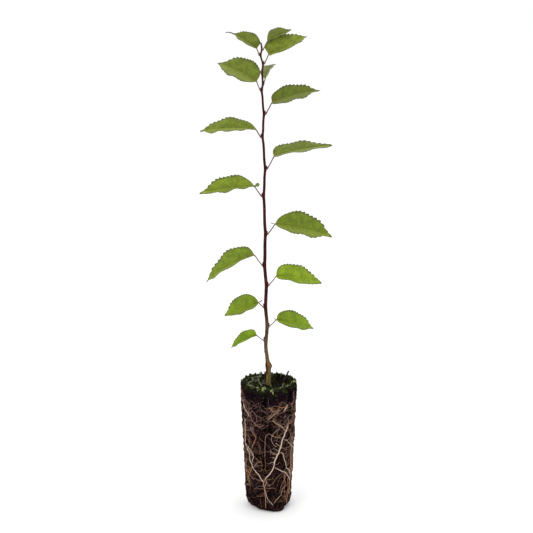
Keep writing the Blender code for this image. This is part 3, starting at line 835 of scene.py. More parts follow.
def make_stubs(material, green):
    """The grey lobes where some blades begin, and the one that is curled up."""
    pile = Pile()
    for stub in STUBS:
        leaf = LEAVES[stub.leaf - 1]
        base = leaf_frame(leaf).base
        way = heading_vector(leaf.heading + 180, stub.rise)
        points = [base + stub.length * MM * share * way for share in STUB_STEPS]
        radii = [stub.radius * MM * size for size in STUB_SIZES]
        add_tube(pile, points, radii, 8)
    make_piece("leaf_stubs", pile, material)
    curl = Pile()
    leaf = LEAVES[CURLED_LEAF - 1]
    axes = leaf_frame(leaf)
    away = heading_vector(leaf.heading + 180, 18)
    stalk = [axes.base + reach * MM * away for reach in (-1.5, 0, 1.2, 2.4)]
    add_tube(curl, stalk, [0.5 * MM, 0.8 * MM, 0.9 * MM, 0.6 * MM], 8)
    center = axes.base + 3.2 * MM * away
    points = []
    radii = []
    for step in range(LOBE_CURL_STEPS + 1):
        turn = step / LOBE_CURL_STEPS
        reach = LOBE_CURL_RADIUS * blend(1.0, 0.25, turn)
        angle = LOBE_CURL_TURN * turn
        points.append(center + reach * (math.cos(angle) * axes.along + math.sin(angle) * UP))
        radii.append(0.85 * MM * blend(1.0, 0.8, turn))
    add_tube(curl, points, radii, 8)
    make_piece("curled_lobe", curl, green)


def make_tip(bark, green, grey):
    """The end bud, the young leaf beside it, one small stipule, and the dried tips of some blades."""
    top = stem_center(STEM_TIP)
    bud = Pile()
    add_bud(bud, top - 0.6 * MM * UP, UP, heading_vector(200), 4.2 * MM, 0.75 * MM)
    make_piece("end_bud", bud, bark, ("tip_bud",))
    young = Pile()
    knots = [top + 0.2 * MM * UP]
    for rise, out in ((2.0, 0.7), (3.6, 1.6), (4.8, 2.7), (5.3, 3.5)):
        knots.append(top + rise * MM * UP + out * MM * heading_vector(155))
    points = smooth_route(knots, 0.4 * MM)
    steps = len(points) - 1
    radii = [0.8 * MM * math.sin(math.pi * (0.12 + 0.84 * step / steps)) ** 0.7 for step in range(steps + 1)]
    add_tube(young, points, radii, 8, 0.6)
    make_piece("young_leaf", young, green, ("tip_bud",))
    stipule = Pile()
    foot = stem_center(STEM_TIP - 4 * MM)
    points = [foot + share * 5.5 * MM * heading_vector(20, 74) for share in (0, 0.3, 0.6, 0.85, 1)]
    add_tube(stipule, points, [0.3 * MM, 0.34 * MM, 0.3 * MM, 0.2 * MM, 0.06 * MM], 6, 0.5)
    for tail in TAILS:
        leaf = LEAVES[tail.leaf - 1]
        axes = leaf_frame(leaf)
        end = rib_point(leaf, axes, 1.0)
        reaches = (-2.0, -0.5, 0.5 * tail.length, tail.length)
        points = [end + reach * MM * axes.along for reach in reaches]
        add_tube(stipule, points, [0.25 * MM, 0.42 * MM, 0.32 * MM, 0.12 * MM], 6, 0.6)
    leaf = LEAVES[DRIED_LEAF - 1]
    axes = leaf_frame(leaf)
    end = rib_point(leaf, axes, 1.0)
    knots = [end - 1.5 * MM * axes.along]
    for run, rise in ((1.0, 0.2), (3.2, 0.8), (5.4, 0.9), (7.2, 0.4)):
        knots.append(end + run * MM * heading_vector(leaf.heading) + rise * MM * UP)
    points = smooth_route(knots, 0.6 * MM)
    steps = len(points) - 1
    add_tube(stipule, points, [blend(0.84, 0.36, step / steps) * MM for step in range(steps + 1)], 6, 0.6)
    make_piece("dried_tips", stipule, grey)


# Root plug


def plug_radius(height):
    return blend(PLUG_FOOT_RADIUS, PLUG_RIM_RADIUS, height / PLUG_HEIGHT)


def crease_depth(angle, radius):
    """How deep the creases cut at an angle from the front, in degrees to the right."""
    period = 360 / CREASES
    off = (angle - CREASE_ANGLE + period / 2) % period - period / 2
    return CREASE_DEPTH * bell(math.radians(off) * radius, CREASE_WIDTH)


def side_radius(height):
    """Radius of the plug's side, with its rounded foot."""
    corner = PLUG_SHOULDER
    if height >= corner:
        return plug_radius(height)
    drop = (corner - height) / corner
    return plug_radius(corner) - corner + corner * math.sqrt(max(1 - drop * drop, 0))


def foot_lobe(angle, height):
    """How far the foot stands out: a lobe right of the middle of the front, less the worn corners."""
    lobe = FOOT_LOBE * bell(angle - LOBE_ANGLE, LOBE_SPAN) * (1 - smooth_step(0, LOBE_HEIGHT, height))
    fade = 1 - smooth_step(0, WEAR_HEIGHT, height)
    return lobe - sum(depth * bell(angle - middle, span) * fade for middle, span, depth in WORN_CORNERS)


def outward(angle):
    """Level direction at an angle from the front, in degrees to the right."""
    turn = math.radians(angle)
    return Vector((math.sin(turn), -math.cos(turn), 0))


def peat_relief(place):
    """Lump and grain of the peat at a place of its plain outline, and how far they lift the surface."""
    lump = rough(place, LUMP_SIZE, 1.3, 2)
    grain = rough(place, GRAIN_SIZE, 5.7, 3)
    calm = blend(0.25, 1.0, smooth_step(0, 3 * MM, place.z))
    return lump, grain, (LUMP_HEIGHT * lump + GRAIN_HEIGHT * grain) * calm


def side_place(angle, height, out=0.0):
    """Point on the plug's side at an angle from the front, in degrees to the right."""
    radius = side_radius(height) + foot_lobe(angle, height)
    radius += out - 0.8 * crease_depth(angle, radius)
    return radius * outward(angle) + height * UP


def plug_profile():
    """Out and height of the plug's outline, from the middle of the dish to the middle of the foot."""
    knots = [(0, SOIL), (DISH_RADIUS, SOIL)]
    knots.append((PLUG_RIM_RADIUS - 2 * PLUG_RIM_ROUND, SOIL + 0.7 * DISH_DEPTH))
    for step in range(7):
        turn = step / 6 * math.pi / 2
        knots.append((
            PLUG_RIM_RADIUS - PLUG_RIM_ROUND * (1 - math.sin(turn)),
            PLUG_HEIGHT - PLUG_RIM_ROUND * (1 - math.cos(turn)),
        ))
    foot = plug_radius(PLUG_SHOULDER) - PLUG_SHOULDER
    for step in range(10):
        turn = step / 9 * math.pi / 2
        knots.append((foot + PLUG_SHOULDER * math.cos(turn), PLUG_SHOULDER * (1 - math.sin(turn))))
    knots.append((0, 0))
    points = []
    for (out, height), (next_out, next_height) in zip(knots, knots[1:]):
        count = max(1, round(math.hypot(next_out - out, next_height - height) / PEAT_STEP))
        for index in range(count):
            share = index / count
            points.append((blend(out, next_out, share), blend(height, next_height, share)))
    points.append(knots[-1])
    return points


def make_peat(material):
    """The block of peat: lumps and grains stand out of the turned shape, and creases cut into it."""
    profile = plug_profile()
    places = []
    marks = []
    for index, (out, height) in enumerate(profile[1:-1], start=1):
        run = profile[index + 1][0] - profile[index - 1][0]
        drop = profile[index - 1][1] - profile[index + 1][1]
        slope = math.atan2(run, drop)
        side = smooth_step(0.6, 1.0, math.cos(slope)) * smooth_step(0, 3 * MM, PLUG_HEIGHT - height)
        reach = smooth_step(6 * MM, 14 * MM, out)
        for spoke in range(PEAT_SPOKES):
            angle = 360 * spoke / PEAT_SPOKES - 180
            away = outward(angle)
            place = out * away + height * UP
            lump, grain, swell = peat_relief(place)
            cut = crease_depth(angle, out) * side
            normal = math.cos(slope) * away + math.sin(slope) * UP
            moved = place + (swell - cut) * normal + reach * foot_lobe(angle, height) * away
            moved.z = max(moved.z, 0)
            places.append(moved)
            # The mark is low in hollows and creases, where the peat material paints shade.
            marks.append((lump + grain - 1.2 * cut / CREASE_DEPTH, 0, 0))
    places.append(Vector((0, 0, SOIL)))
    places.append(Vector((0, 0, 0)))
    marks += [(0, 0, 0), (0, 0, 0)]
    pile = Pile()
    pile.add(places, ring_faces(len(profile) - 2, PEAT_SPOKES), lump=marks)
    make_piece("peat_block", pile, material, ("root_plug",))


# Roots that show on the side of the plug: tint, radius at the start and at the end in mm, and the route
# as angles from the front, in degrees to the right, each with a height in mm
Root = namedtuple("Root", "tint start end route")
ROOTS = (
    Root("pale", 0.51, 0.64, ((49, 85), (40, 80), (33, 73), (27, 65), (21, 58), (14, 52), (13, 48))),
    Root("pale", 0.59, 0.41, ((13, 48), (9, 43), (0, 38), (-8, 34), (-10, 32))),
    Root("tan", 0.41, 0.37, ((8, 93), (17, 89), (29, 86), (36, 82), (46, 80))),
    Root("pale", 0.30, 0.40, ((-66, 67), (-56, 62), (-51, 57), (-49, 50), (-45, 47), (-37, 42))),
    Root("pale", 0.42, 0.37, ((-37, 42), (-26, 38), (-17, 33), (-12, 30))),
    Root("pale", 0.29, 0.25, ((-52, 64), (-49, 61), (-38, 56), (-42, 48))),
    Root("tan", 0.41, 0.41, ((-10, 33), (-5, 31), (-10, 26), (-11, 24))),
    Root("pink", 0.48, 0.32, ((-10, 32), (-13, 28), (-11, 24), (-9, 17), (-8, 12), (-8, 3))),
    Root("pale", 0.28, 0.21, ((-11, 24), (-3, 14), (5, 10), (12, 7))),
    Root("pale", 0.33, 0.39, ((16, 45), (31, 41), (48, 37), (56, 33), (62, 28))),
    Root("tan", 0.39, 0.34, ((62, 28), (65, 21), (60, 18), (57, 11), (56, 5))),
    Root("orange", 0.30, 0.28, ((54, 31), (57, 23), (53, 14), (52, 6))),
    Root("orange", 0.22, 0.20, ((44, 39), (41, 34), (45, 28), (40, 22))),
    Root("pale", 0.33, 0.38, ((30, 60), (36, 56), (41, 50), (47, 44), (58, 38), (70, 31))),
    Root("pale", 0.26, 0.33, ((36, 72), (47, 70), (58, 65), (76, 59))),
    Root("dusk", 0.26, 0.30, ((2, 80), (-6, 77), (-8, 73), (-9, 65), (-9, 55))),
    Root("umber", 0.30, 0.26, ((-9, 55), (-8, 48), (-9, 41))),
    Root("brown", 0.24, 0.20, ((-34, 54), (-22, 50), (-8, 47), (4, 50))),
    Root("umber", 0.18, 0.16, ((-26, 40), (-14, 43), (-4, 42), (6, 44))),
    Root("umber", 0.18, 0.16, ((-20, 56), (-16, 48), (-18, 41))),
    Root("tan", 0.25, 0.23, ((2, 79), (15, 76), (29, 74))),
    Root("tan", 0.26, 0.26, ((-58, 80), (-70, 69), (-66, 67))),
    Root("tan", 0.30, 0.28, ((-80, 46), (-71, 33), (-68, 22))),
    Root("pale", 0.42, 0.34, ((-68, 108), (-63, 102), (-53, 98), (-46, 94))),
    Root("orange", 0.29, 0.26, ((42, 105), (31, 104), (24, 105), (17, 102), (10, 102), (4, 104))),
    Root("tan", 0.32, 0.34, ((25, 103), (14, 99), (6, 96), (-2, 93))),
    Root("pink", 0.30, 0.25, ((46, 103), (38, 102), (33, 99))),
    Root("orange", 0.26, 0.25, ((-1, 105), (14, 104))),
    Root("tan", 0.25, 0.34, ((50, 24), (37, 22), (32, 16), (24, 14), (13, 9))),
    Root("orange", 0.48, 0.40, ((-44, 43), (-50, 37), (-57, 32), (-53, 25))),
    Root("orange", 0.28, 0.25, ((-52, 41), (-60, 35), (-66, 28))),
    Root("tan", 0.26, 0.24, ((-45, 42), (-34, 46), (-26, 50), (-16, 51))),
    Root("pink", 0.24, 0.24, ((-82, 120), (-76, 112), (-72, 106), (-70, 98))),
    Root("pink", 0.20, 0.20, ((-74, 118), (-66, 108), (-58, 100))),
    Root("pink", 0.20, 0.20, ((-60, 110), (-56, 105), (-52, 102), (-48, 99))),
    Root("pink", 0.22, 0.20, ((-48, 100), (-42, 94), (-36, 90), (-22, 86), (-8, 88))),
    Root("dusk", 0.20, 0.18, ((-44, 96), (-36, 100), (-28, 97), (-26, 91), (-34, 88))),
    Root("pale", 0.44, 0.34, ((43, 106), (38, 103), (33, 101))),
    Root("umber", 0.30, 0.26, ((30, 108), (20, 106), (12, 107), (3, 104))),
    Root("umber", 0.28, 0.26, ((34, 100), (24, 99), (14, 96), (8, 92))),
    Root("orange", 0.24, 0.22, ((72, 56), (68, 48), (71, 38), (66, 30))),
    Root("orange", 0.24, 0.22, ((40, 34), (46, 27), (43, 20), (48, 12))),
    Root("pink", 0.28, 0.28, ((66, 60), (72, 48), (68, 36))),
    Root("tan", 0.25, 0.21, ((22, 84), (12, 80), (6, 74), (12, 68), (20, 66))),
    Root("pink", 0.26, 0.24, ((-44, 84), (-36, 78), (-30, 74), (-36, 68), (-44, 62))),
    Root("pale", 0.34, 0.38, ((-62, 90), (-62, 80), (-62, 70), (-65, 62))),
    Root("tan", 0.30, 0.26, ((-69, 52), (-71, 40), (-68, 29))),
    Root("pink", 0.19, 0.19, ((60, 118), (63, 110), (61, 103))),
    Root("umber", 0.22, 0.20, ((57, 100), (61, 88), (57, 76), (60, 62))),
    Root("umber", 0.20, 0.20, ((70, 104), (68, 92), (72, 80))),
    Root("tan", 0.33, 0.30, ((67, 72), (63, 56), (66, 42), (64, 28))),
    Root("pale", 0.19, 0.10, ((14, 50), (7, 51), (1, 49))),
    Root("pale", 0.18, 0.10, ((16, 54), (8, 56), (2, 55))),
    Root("pale", 0.19, 0.10, ((20, 58), (10, 60), (3, 63))),
    Root("pale", 0.18, 0.10, ((23, 61), (14, 64), (8, 64))),
    Root("pale", 0.19, 0.10, ((26, 66), (18, 69), (12, 70))),
)
ROOT_TINTS = {
    "pale": (0.540, 0.420, 0.330),
    "tan": (0.330, 0.212, 0.135),
    "pink": (0.360, 0.175, 0.135),
    "orange": (0.330, 0.145, 0.062),
    "brown": (0.075, 0.036, 0.027),
    "dusk": (0.250, 0.165, 0.142),
    "umber": (0.170, 0.085, 0.045),
}
ROOT_SINK = 0.3
ROOT_SIDES = 7
FINE_SIDES = 4
ROOT_SWAY = 0.22 * MM
ROOT_UNEVEN = 0.12
HOLLOW_SHARE = 0.5
ROOT_STEP = 1.1 * MM
# Radii in mm at the start and end of branches and curls, and the range of those of fine roots and of
# the roots on the back at their start
BRANCH_RADII = (0.17, 0.10)
CURL_RADII = (0.14, 0.09)
FINE_RADII = (0.12, 0.26)
BACK_RADII = (0.40, 0.70)
BACK_END_RADIUS = 0.35
# Random routes: step, lowest and highest place, in mm
WANDER_STEP = 2.2
ROUTE_LOW = 1.5
ROUTE_HIGH = 117
BACK_ROOTS = 16
BACK_START = 108
BACK_SPAN = 144
BACK_EDGE = 94
FINE_ROOTS = 470
QUIET_ANGLE = -8
QUIET_SPAN = 27
QUIET_LOW = 42
QUIET_HIGH = 85
QUIET_SHARE = 0.8
# Fine roots are thinner in front, and near the rim thinner and brown: heights in mm
FRONT_SPAN = 52
FRONT_THIN = 0.75
UPPER_HEIGHT = 85
UPPER_THIN = 0.8
RIM_HEIGHT = 98
RIM_THIN = 0.7
HIGH_TINTS = ("brown", "dusk", "dusk", "dusk", "umber", "tan", "pink")
LOW_TINTS = ("brown", "umber", "umber", "umber", "dusk", "tan", "pink")
CURL_TINTS = ("dusk", "umber", "umber", "pink", "brown")
BACK_TINTS = ("pale", "tan", "pink", "orange")
FINE_STEP = 1.4 * MM
CURLS = 210


def lay_root(pile, route, start, end, sides=ROOT_SIDES):
    """A root along a route of angles and heights, sunk a little into the peat and slightly crooked."""
    knots = [side_place(angle, height * MM) for angle, height in route]
    points = []
    for place in smooth_route(knots, ROOT_STEP if sides > FINE_SIDES else FINE_STEP):
        angle = math.degrees(math.atan2(place.x, -place.y))
        points.append((angle, place.z))
    steps = max(len(points) - 1, 1)
    places = []
    radii = []
    for step, (angle, height) in enumerate(points):
        radius = blend(start, end, step / steps) * MM
        spot = side_place(angle, height)
        rise = peat_relief(side_radius(height) * outward(angle) + height * UP)[2]
        lift = (1 - ROOT_SINK) * radius + max(rise, HOLLOW_SHARE * rise)
        sway = ROOT_SWAY * rough(spot, 3 * MM, 9.1, 2)
        places.append(side_place(angle + math.degrees(sway / spot.xy.length), height, lift))
        radii.append(radius * (1 + ROOT_UNEVEN * rough(spot, 1.5 * MM, 4.4, 2)))
    radii[0] *= 0.5
    radii[-1] *= 0.35
    if len(places) > 1:
        add_tube(pile, places, radii, sides)


def wander(angle, height, heading, length, turn, chance):
    """A wandering route over the plug's side. Heading 0 goes down, 90 to the right."""
    route = [(angle, height)]
    for _ in range(max(2, round(length / WANDER_STEP))):
        heading += chance.uniform(-turn, turn)
        height -= WANDER_STEP * math.cos(math.radians(heading))
        sideways = WANDER_STEP * math.sin(math.radians(heading))
        angle += math.degrees(sideways / (plug_radius(height * MM) / MM))
        if not ROUTE_LOW < height < ROUTE_HIGH:
            break
        route.append((angle, height))
    return route


def is_quiet(angle, height):
    """Whether a spot lies in the part of the front with few fine roots."""
    return abs(angle - QUIET_ANGLE) < QUIET_SPAN and QUIET_LOW < height < QUIET_HIGH


def make_roots():
    """Roots of the table with short branches, those on the back, fine roots, and curls, by tint."""
    chance = random.Random(SEED)
    piles = {tint: Pile() for tint in ROOT_TINTS}
    for root in ROOTS:
        lay_root(piles[root.tint], root.route, root.start, root.end)
        for _ in range(max(1, len(root.route) - 2)):
            angle, height = chance.choice(root.route[:-1])
            if is_quiet(angle, height):
                continue
            side = chance.choice((-1, 1)) * chance.uniform(40, 100)
            branch = wander(angle, height, side, chance.uniform(6, 15), 22, chance)
            if len(branch) > 1:
                tint = "tan" if root.tint == "pale" else "dusk"
                lay_root(piles[tint], branch, *BRANCH_RADII, FINE_SIDES)
    for index in range(BACK_ROOTS):
        angle = BACK_START + BACK_SPAN * (index + chance.uniform(0.2, 0.8)) / BACK_ROOTS
        height = chance.uniform(70, 110) if index % 2 else chance.uniform(40, 75)
        route = wander(angle, height, chance.uniform(-50, 50), chance.uniform(30, 60), 24, chance)
        route = [(angle, height) for angle, height in route if BACK_EDGE < angle < 360 - BACK_EDGE]
        if len(route) > 1:
            tint = BACK_TINTS[index % len(BACK_TINTS)]
            lay_root(piles[tint], route, chance.uniform(*BACK_RADII), BACK_END_RADIUS)
    for _ in range(FINE_ROOTS):
        height = 110 * chance.random() ** 0.85 + 2
        angle = chance.uniform(-180, 180)
        heading = chance.gauss(0, 50 if height > 45 else 32)
        route = wander(angle, height, heading, chance.uniform(8, 34), 30, chance)
        tint = chance.choice(HIGH_TINTS if height > chance.uniform(30, 80) else LOW_TINTS)
        dull = ("tan", "pink", "dusk") if height < QUIET_LOW else ("tan", "pink")
        if abs(angle) < FRONT_SPAN and tint in dull:
            tint = "brown"
        radius = chance.uniform(*FINE_RADII)
        if is_quiet(angle, height) and chance.random() < QUIET_SHARE:
            continue
        if abs(angle) < FRONT_SPAN and height > QUIET_LOW:
            radius *= FRONT_THIN
        if height > RIM_HEIGHT:
            tint = "brown"
            radius *= RIM_THIN
        elif height > UPPER_HEIGHT and abs(angle) < FRONT_SPAN:
            radius *= UPPER_THIN
        if len(route) > 1:
            lay_root(piles[tint], route, radius, 0.6 * radius, FINE_SIDES)
    for _ in range(CURLS):
        angle = chance.uniform(-180, 180)
        height = chance.uniform(60, 108)
        route = wander(angle, height, chance.uniform(-180, 180), chance.uniform(7, 16), 55, chance)
        if len(route) > 2 and not is_quiet(angle, height):
            tint = chance.choice(CURL_TINTS)
            lay_root(piles[tint], route, *CURL_RADII, FINE_SIDES)
    replaced = {
        "pale": ("root_01", "root_02", "root_03", "root_06"),
        "tan": ("root_04", "root_05", "root_07", "root_08", "root_11", "root_12", "root_13"),
        "pink": ("root_10", "root_14", "root_15"),
        "orange": ("root_09", "root_16"),
    }
    for tint, pile in piles.items():
        material = Graph("root_" + tint, ROOT_TINTS[tint], 0.6, 0.15).material
        make_piece("roots_" + tint, pile, material, replaced.get(tint, ()))


# Moss and crumbs on top


MOSS_TINTS = {
    "dark": (0.012, 0.017, 0.006),
    "green": (0.072, 0.090, 0.022),
    "lime": (0.520, 0.570, 0.230),
    "pale": (0.380, 0.410, 0.250),
    "straw": (0.250, 0.250, 0.165),
}
SHOOTS = 560
SHOOT_SIZE = 1.25
CRUMBS = 760
CRUMB_LUMPS = 0.25
CRUMB_REACH = 25.4 * MM
STRAWS = 10
STRAW_RISE = 3.5 * MM
STRAW_RADIUS = 0.20 * MM
MOSS_PATCH = 3.5 * MM
MOSS_REACH = 25.6 * MM
MOSS_SINK = 0.6 * MM
HANGING = 120
HANGING_REACH = 9 * MM
RIM_WALK = 25.2 * MM
BARE_HEADING = 42
BARE_SPAN = 38
BARE_REACH = 20 * MM

# Clumps of moss over the even cover: heading in degrees, distance from the axis and spread in mm,
# number and size of shoots, and the tint of their tips
Clump = namedtuple("Clump", "heading distance spread shoots size tint")
CLUMPS = (
    Clump(240, 21.4, 1.9, 12, 1.6, "lime"),
    Clump(259, 23.4, 1.7, 11, 1.6, "lime"),
    Clump(259, 26.8, 1.4, 10, 1.4, "lime"),
    Clump(277, 28.4, 1.8, 16, 1.4, "lime"),
    Clump(288, 25.4, 1.2, 5, 1.2, "green"),
    Clump(247, 26.6, 1.6, 6, 1.2, "pale"),
    Clump(284, 30.5, 2.4, 9, 1.0, "green"),
    Clump(300, 27.5, 2.4, 9, 1.0, "green"),
    Clump(232, 25.0, 1.8, 9, 1.4, "green"),
    Clump(296, 22.8, 2.0, 6, 1.3, "pale"),
    Clump(354, 23.2, 1.6, 14, 1.5, "lime"),
    Clump(324, 22.4, 2.2, 9, 1.3, "lime"),
    Clump(310, 22.0, 3.0, 12, 1.3, "pale"),
    Clump(338, 23.6, 2.0, 8, 1.2, "pale"),
    Clump(175, 17.0, 4.0, 22, 1.5, "pale"),
    Clump(148, 20.5, 3.2, 14, 1.9, "pale"),
    Clump(136, 22.5, 2.6, 14, 2.3, "green"),
    Clump(157, 20.8, 2.2, 12, 2.0, "dark"),
    Clump(33, 21.4, 3.0, 16, 2.3, "dark"),
    Clump(22, 22.5, 2.4, 10, 2.0, "dark"),
    Clump(198, 20.5, 3.0, 16, 1.4, "pale"),
    Clump(215, 21.5, 2.6, 12, 1.6, "lime"),
    Clump(120, 22.0, 3.0, 10, 1.5, "pale"),
    Clump(70, 9.0, 3.0, 10, 1.4, "green"),
    Clump(60, 23.0, 2.4, 8, 1.3, "pale"),
)

# Pale dead stalks lying across the moss, as places in mm from the axis
STRAW_ROUTES = (
    ((-10.4, 14.6), (-9.6, 6.0), (-8.6, -2.0), (-6.7, -11.4)),
    ((-16.0, 10.0), (-12.0, 14.0), (-7.0, 15.5)),
    ((-13.0, 1.0), (-10.0, 5.5), (-8.5, 11.0)),
    ((-19.0, -4.0), (-15.5, 3.0), (-11.0, 8.5)),
)


def top_height(distance):
    """Height of the plug's top at a distance from its axis."""
    lip = PLUG_RIM_RADIUS - 2 * PLUG_RIM_ROUND
    if distance < lip:
        return SOIL + 0.7 * DISH_DEPTH * smooth_step(DISH_RADIUS, lip, distance)
    return SOIL + DISH_DEPTH * blend(0.7, 1.0, min((distance - lip) / PLUG_RIM_ROUND, 1))


def on_top(spot, distance, lift):
    """Place over a level spot of the plug's top, given the spot's distance from the axis."""
    return spot + (top_height(distance) + lift) * UP


def add_leaflet(pile, foot, way, out, length, width):
    """One pointed leaflet of four faces."""
    side = way.cross(out).normalized()
    belly = foot + 0.4 * length * way
    keel = 0.12 * width * out
    places = [foot, foot + length * way, belly + width * side / 2 + keel, belly - width * side / 2 + keel]
    pile.add(places, [(0, 2, 1), (0, 1, 3), (0, 3, 2), (1, 2, 3)])


def add_shoot(pile, tips, foot, lean, height, size, chance):
    """A moss shoot: leaflets set spirally round a short stalk, the last of them lighter."""
    leaflets = round(7 + 4 * height / MM)
    for index in range(leaflets):
        share = (index + 1) / leaflets
        out = heading_vector(137.5 * index + chance.uniform(-20, 20))
        way = (out * blend(1.0, 0.45, share) + lean * 0.8 + UP * blend(0.3, 1.3, share)).normalized()
        place = foot + height * share * lean
        goal = tips if share > 0.62 else pile
        length = size * chance.uniform(0.9, 1.7) * MM * blend(1.1, 0.7, share)
        add_leaflet(goal, place, way, out, length, 0.48 * length)


def make_moss(peat):
    """Even cover, clumps, shoots that hang over the front, dead stalks and crumbs of peat."""
    chance = random.Random(SEED + 1)
    piles = {tint: Pile() for tint in MOSS_TINTS}
    for _ in range(SHOOTS):
        heading = chance.uniform(0, 360)
        distance = MOSS_REACH * math.sqrt(chance.uniform(0.04, 1.0))
        off = (heading - BARE_HEADING + 180) % 360 - 180
        bare = abs(off) < BARE_SPAN and distance < BARE_REACH
        foot = on_top(distance * heading_vector(heading), distance, -MOSS_SINK)
        lean = (UP + 0.35 * chance.random() * heading_vector(chance.uniform(0, 360))).normalized()
        height = chance.uniform(0.8, 2.6) * MM
        roll = chance.random()
        lit = rough(foot, MOSS_PATCH, 7.7, 2) > 0.05
        body = "green" if lit and roll < 0.4 else "dark"
        tips = "pale" if lit and roll < 0.2 else ("green" if lit else "dark")
        if not bare or roll > 0.9:
            add_shoot(piles[body], piles[tips], foot, lean, height, SHOOT_SIZE, chance)
    for clump in CLUMPS:
        middle = clump.distance * MM * heading_vector(clump.heading)
        for _ in range(clump.shoots):
            spread = clump.spread * MM * math.sqrt(chance.random())
            spot = middle + spread * heading_vector(chance.uniform(0, 360))
            lean = UP + 0.5 * chance.random() * heading_vector(chance.uniform(0, 360))
            if spot.length < RIM_WALK:
                foot = on_top(spot, spot.length, -MOSS_SINK)
            else:
                angle = math.degrees(math.atan2(spot.x, -spot.y))
                foot = side_place(angle, PLUG_HEIGHT - (spot.length - RIM_WALK), -0.9 * MM)
                lean += 0.6 * outward(angle)
            lean.normalize()
            height = chance.uniform(1.2, 2.8) * MM
            bright = clump.tint == "lime"
            body = "green" if chance.random() < (0.7 if bright else 0.3) else "dark"
            mix = ("lime", "lime", "lime", "pale") if bright else (clump.tint, "green", "dark")
            tips = chance.choice(mix)
            add_shoot(piles[body], piles[tips], foot, lean, height, clump.size, chance)
    for _ in range(HANGING):
        angle = chance.gauss(2, 22)
        height = PLUG_HEIGHT - chance.uniform(0.0, 1.0) ** 1.5 * HANGING_REACH
        foot = side_place(angle, height, -0.5 * MM)
        lean = (0.25 * outward(angle) - 0.6 * UP).normalized()
        tips = "lime" if chance.random() < 0.12 else ("green" if chance.random() < 0.6 else "dark")
        add_shoot(piles["dark"], piles[tips], foot, lean, 0.8 * MM, 0.9, chance)
    for route in STRAW_ROUTES:
        knots = []
        for x, y in route:
            distance = math.hypot(x, y) * MM
            knots.append(Vector((x * MM, y * MM, top_height(distance) + STRAW_RISE)))
        points = smooth_route(knots, 1 * MM)
        add_tube(piles["straw"], points, [STRAW_RADIUS] * len(points), 5)
    for _ in range(STRAWS):
        heading = chance.uniform(120, 230)
        distance = chance.uniform(6, 18) * MM
        foot = on_top(distance * heading_vector(heading), distance, 0.8 * MM)
        way = heading_vector(chance.uniform(0, 360), chance.uniform(10, 50))
        length = chance.uniform(3, 7) * MM
        shares = (0, 0.25, 0.5, 0.75, 1)
        points = [foot + length * share * way - 2 * MM * share * share * UP for share in shares]
        add_tube(piles["straw"], points, [0.16 * MM, 0.17 * MM, 0.16 * MM, 0.13 * MM, 0.06 * MM], 5)
    replaced = {"dark": ("moss_3", "moss_4", "moss_5"), "green": ("moss_1", "moss_2", "moss_6")}
    for tint, pile in piles.items():
        material = Graph("moss_" + tint, MOSS_TINTS[tint], 0.7, 0.3).material
        make_piece("moss_" + tint, pile, material, replaced.get(tint, ()), 30)
    crumbs = Pile()
    for _ in range(CRUMBS):
        heading = chance.uniform(0, 360)
        distance = CRUMB_REACH * math.sqrt(chance.random())
        size = chance.uniform(0.35, 1.5) * MM
        center = on_top(distance * heading_vector(heading), distance, 0.2 * size)
        add_lump(crumbs, center, size, chance)
    make_piece("peat_crumbs", crumbs, peat, (), 40)


def make_twig():
    graph = Graph("dead_wood", (0.03, 0.022, 0.02), 0.8, 0.3)
    grain = graph.speckle(1200.0, 3.0, (1, 1, 0.2))
    color = graph.mix(graph.ramp(grain, 0.35, 0.65), (0.004, 0.003, 0.003), (0.022, 0.016, 0.016))
    graph.set("Base Color", color)
    pile = Pile()
    knots = [
        Vector((13.5 * MM, 8.5 * MM, SOIL - 0.5 * MM)),
        Vector((15.4 * MM, 10.0 * MM, SOIL + 3.2 * MM)),
        Vector((16.6 * MM, 11.2 * MM, SOIL + 5.6 * MM)),
        Vector((18.8 * MM, 12.0 * MM, PLUG_HEIGHT + 6.8 * MM)),
    ]
    points = smooth_route(knots, 0.5 * MM)
    radii = [0.80 * MM * (1 + 0.15 * rough(point, 1.2 * MM, 2.2)) for point in points]
    add_tube(pile, points, radii, 9)
    side = [points[len(points) // 2] + 1.8 * MM * share * heading_vector(250, 40) for share in (0, 0.5, 1)]
    add_tube(pile, side, [0.35 * MM, 0.3 * MM, 0.22 * MM], 7)
    make_piece("dead_twigs", pile, graph.material, ("twig",))


# Surroundings


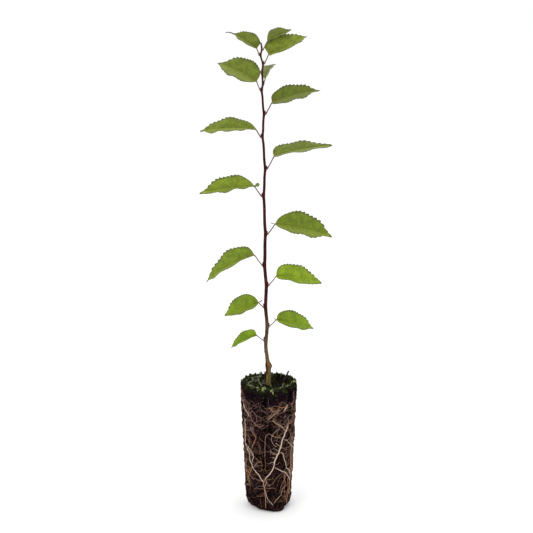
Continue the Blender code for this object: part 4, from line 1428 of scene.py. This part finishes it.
def make_floor():
    material = Graph("floor", (0.93, 0.93, 0.93), 0.9, 0.1).material
    mesh = bpy.data.meshes.new("floor")
    reach = 14.0
    corners = [(-reach, -reach, 0), (reach, -reach, 0), (reach, reach, 0), (-reach, reach, 0)]
    mesh.from_pydata(corners, [], [(0, 1, 2, 3)])
    mesh.materials.append(material)
    link_object("floor", mesh)


def add_light(name, place, target, size, power):
    lamp = bpy.data.lights.new(name, "AREA")
    lamp.shape = "DISK"
    lamp.size = size
    lamp.energy = power
    holder = link_object(name, lamp)
    holder.location = place
    holder.rotation_euler = (Vector(target) - Vector(place)).to_track_quat("-Z", "Y").to_euler()


def make_studio():
    make_floor()
    world = bpy.data.worlds.new("studio")
    world.use_nodes = True
    background = world.node_tree.nodes["Background"]
    background.inputs[0].default_value = (1, 1, 1, 1)
    background.inputs[1].default_value = 1.08
    bpy.context.scene.world = world
    middle = (0, 0, 0.25)
    add_light("key", (-1.0, -1.6, 1.6), middle, 1.0, 12)
    add_light("fill", (1.6, -1.2, 0.9), middle, 1.4, 4)
    add_light("top", (0.1, 0.5, 1.8), middle, 1.2, 4)
    bpy.context.scene.view_settings.view_transform = "Standard"


def make_camera():
    lens = bpy.data.cameras.new("camera")
    lens.sensor_width = SENSOR
    lens.lens = FOCAL_PIXELS / IMAGE_PIXELS * SENSOR
    camera = link_object("camera", lens)
    camera.location = CAMERA_PLACE
    camera.rotation_euler = (math.radians(90 - CAMERA_TILT), 0, 0)
    bpy.context.scene.camera = camera


def main():
    make_camera()
    make_studio()
    bark = bark_material()
    peat = peat_material()
    grey = Graph("dried", (0.070, 0.075, 0.060), 0.6, 0.3).material
    green = Graph("young_green", (0.110, 0.170, 0.030), 0.5, 0.4).material
    buds = make_stem(bark)
    bud_bark = Graph("bud_scales", (0.070, 0.014, 0.011), 0.5, 0.2).material
    make_piece("axil_buds", buds, bud_bark, ("stem",))
    make_leaves()
    make_stubs(grey, green)
    make_tip(bud_bark, Graph("scale_green", (0.075, 0.080, 0.028), 0.6, 0.2).material, grey)
    make_peat(peat)
    make_roots()
    make_moss(peat)
    make_twig()


main()
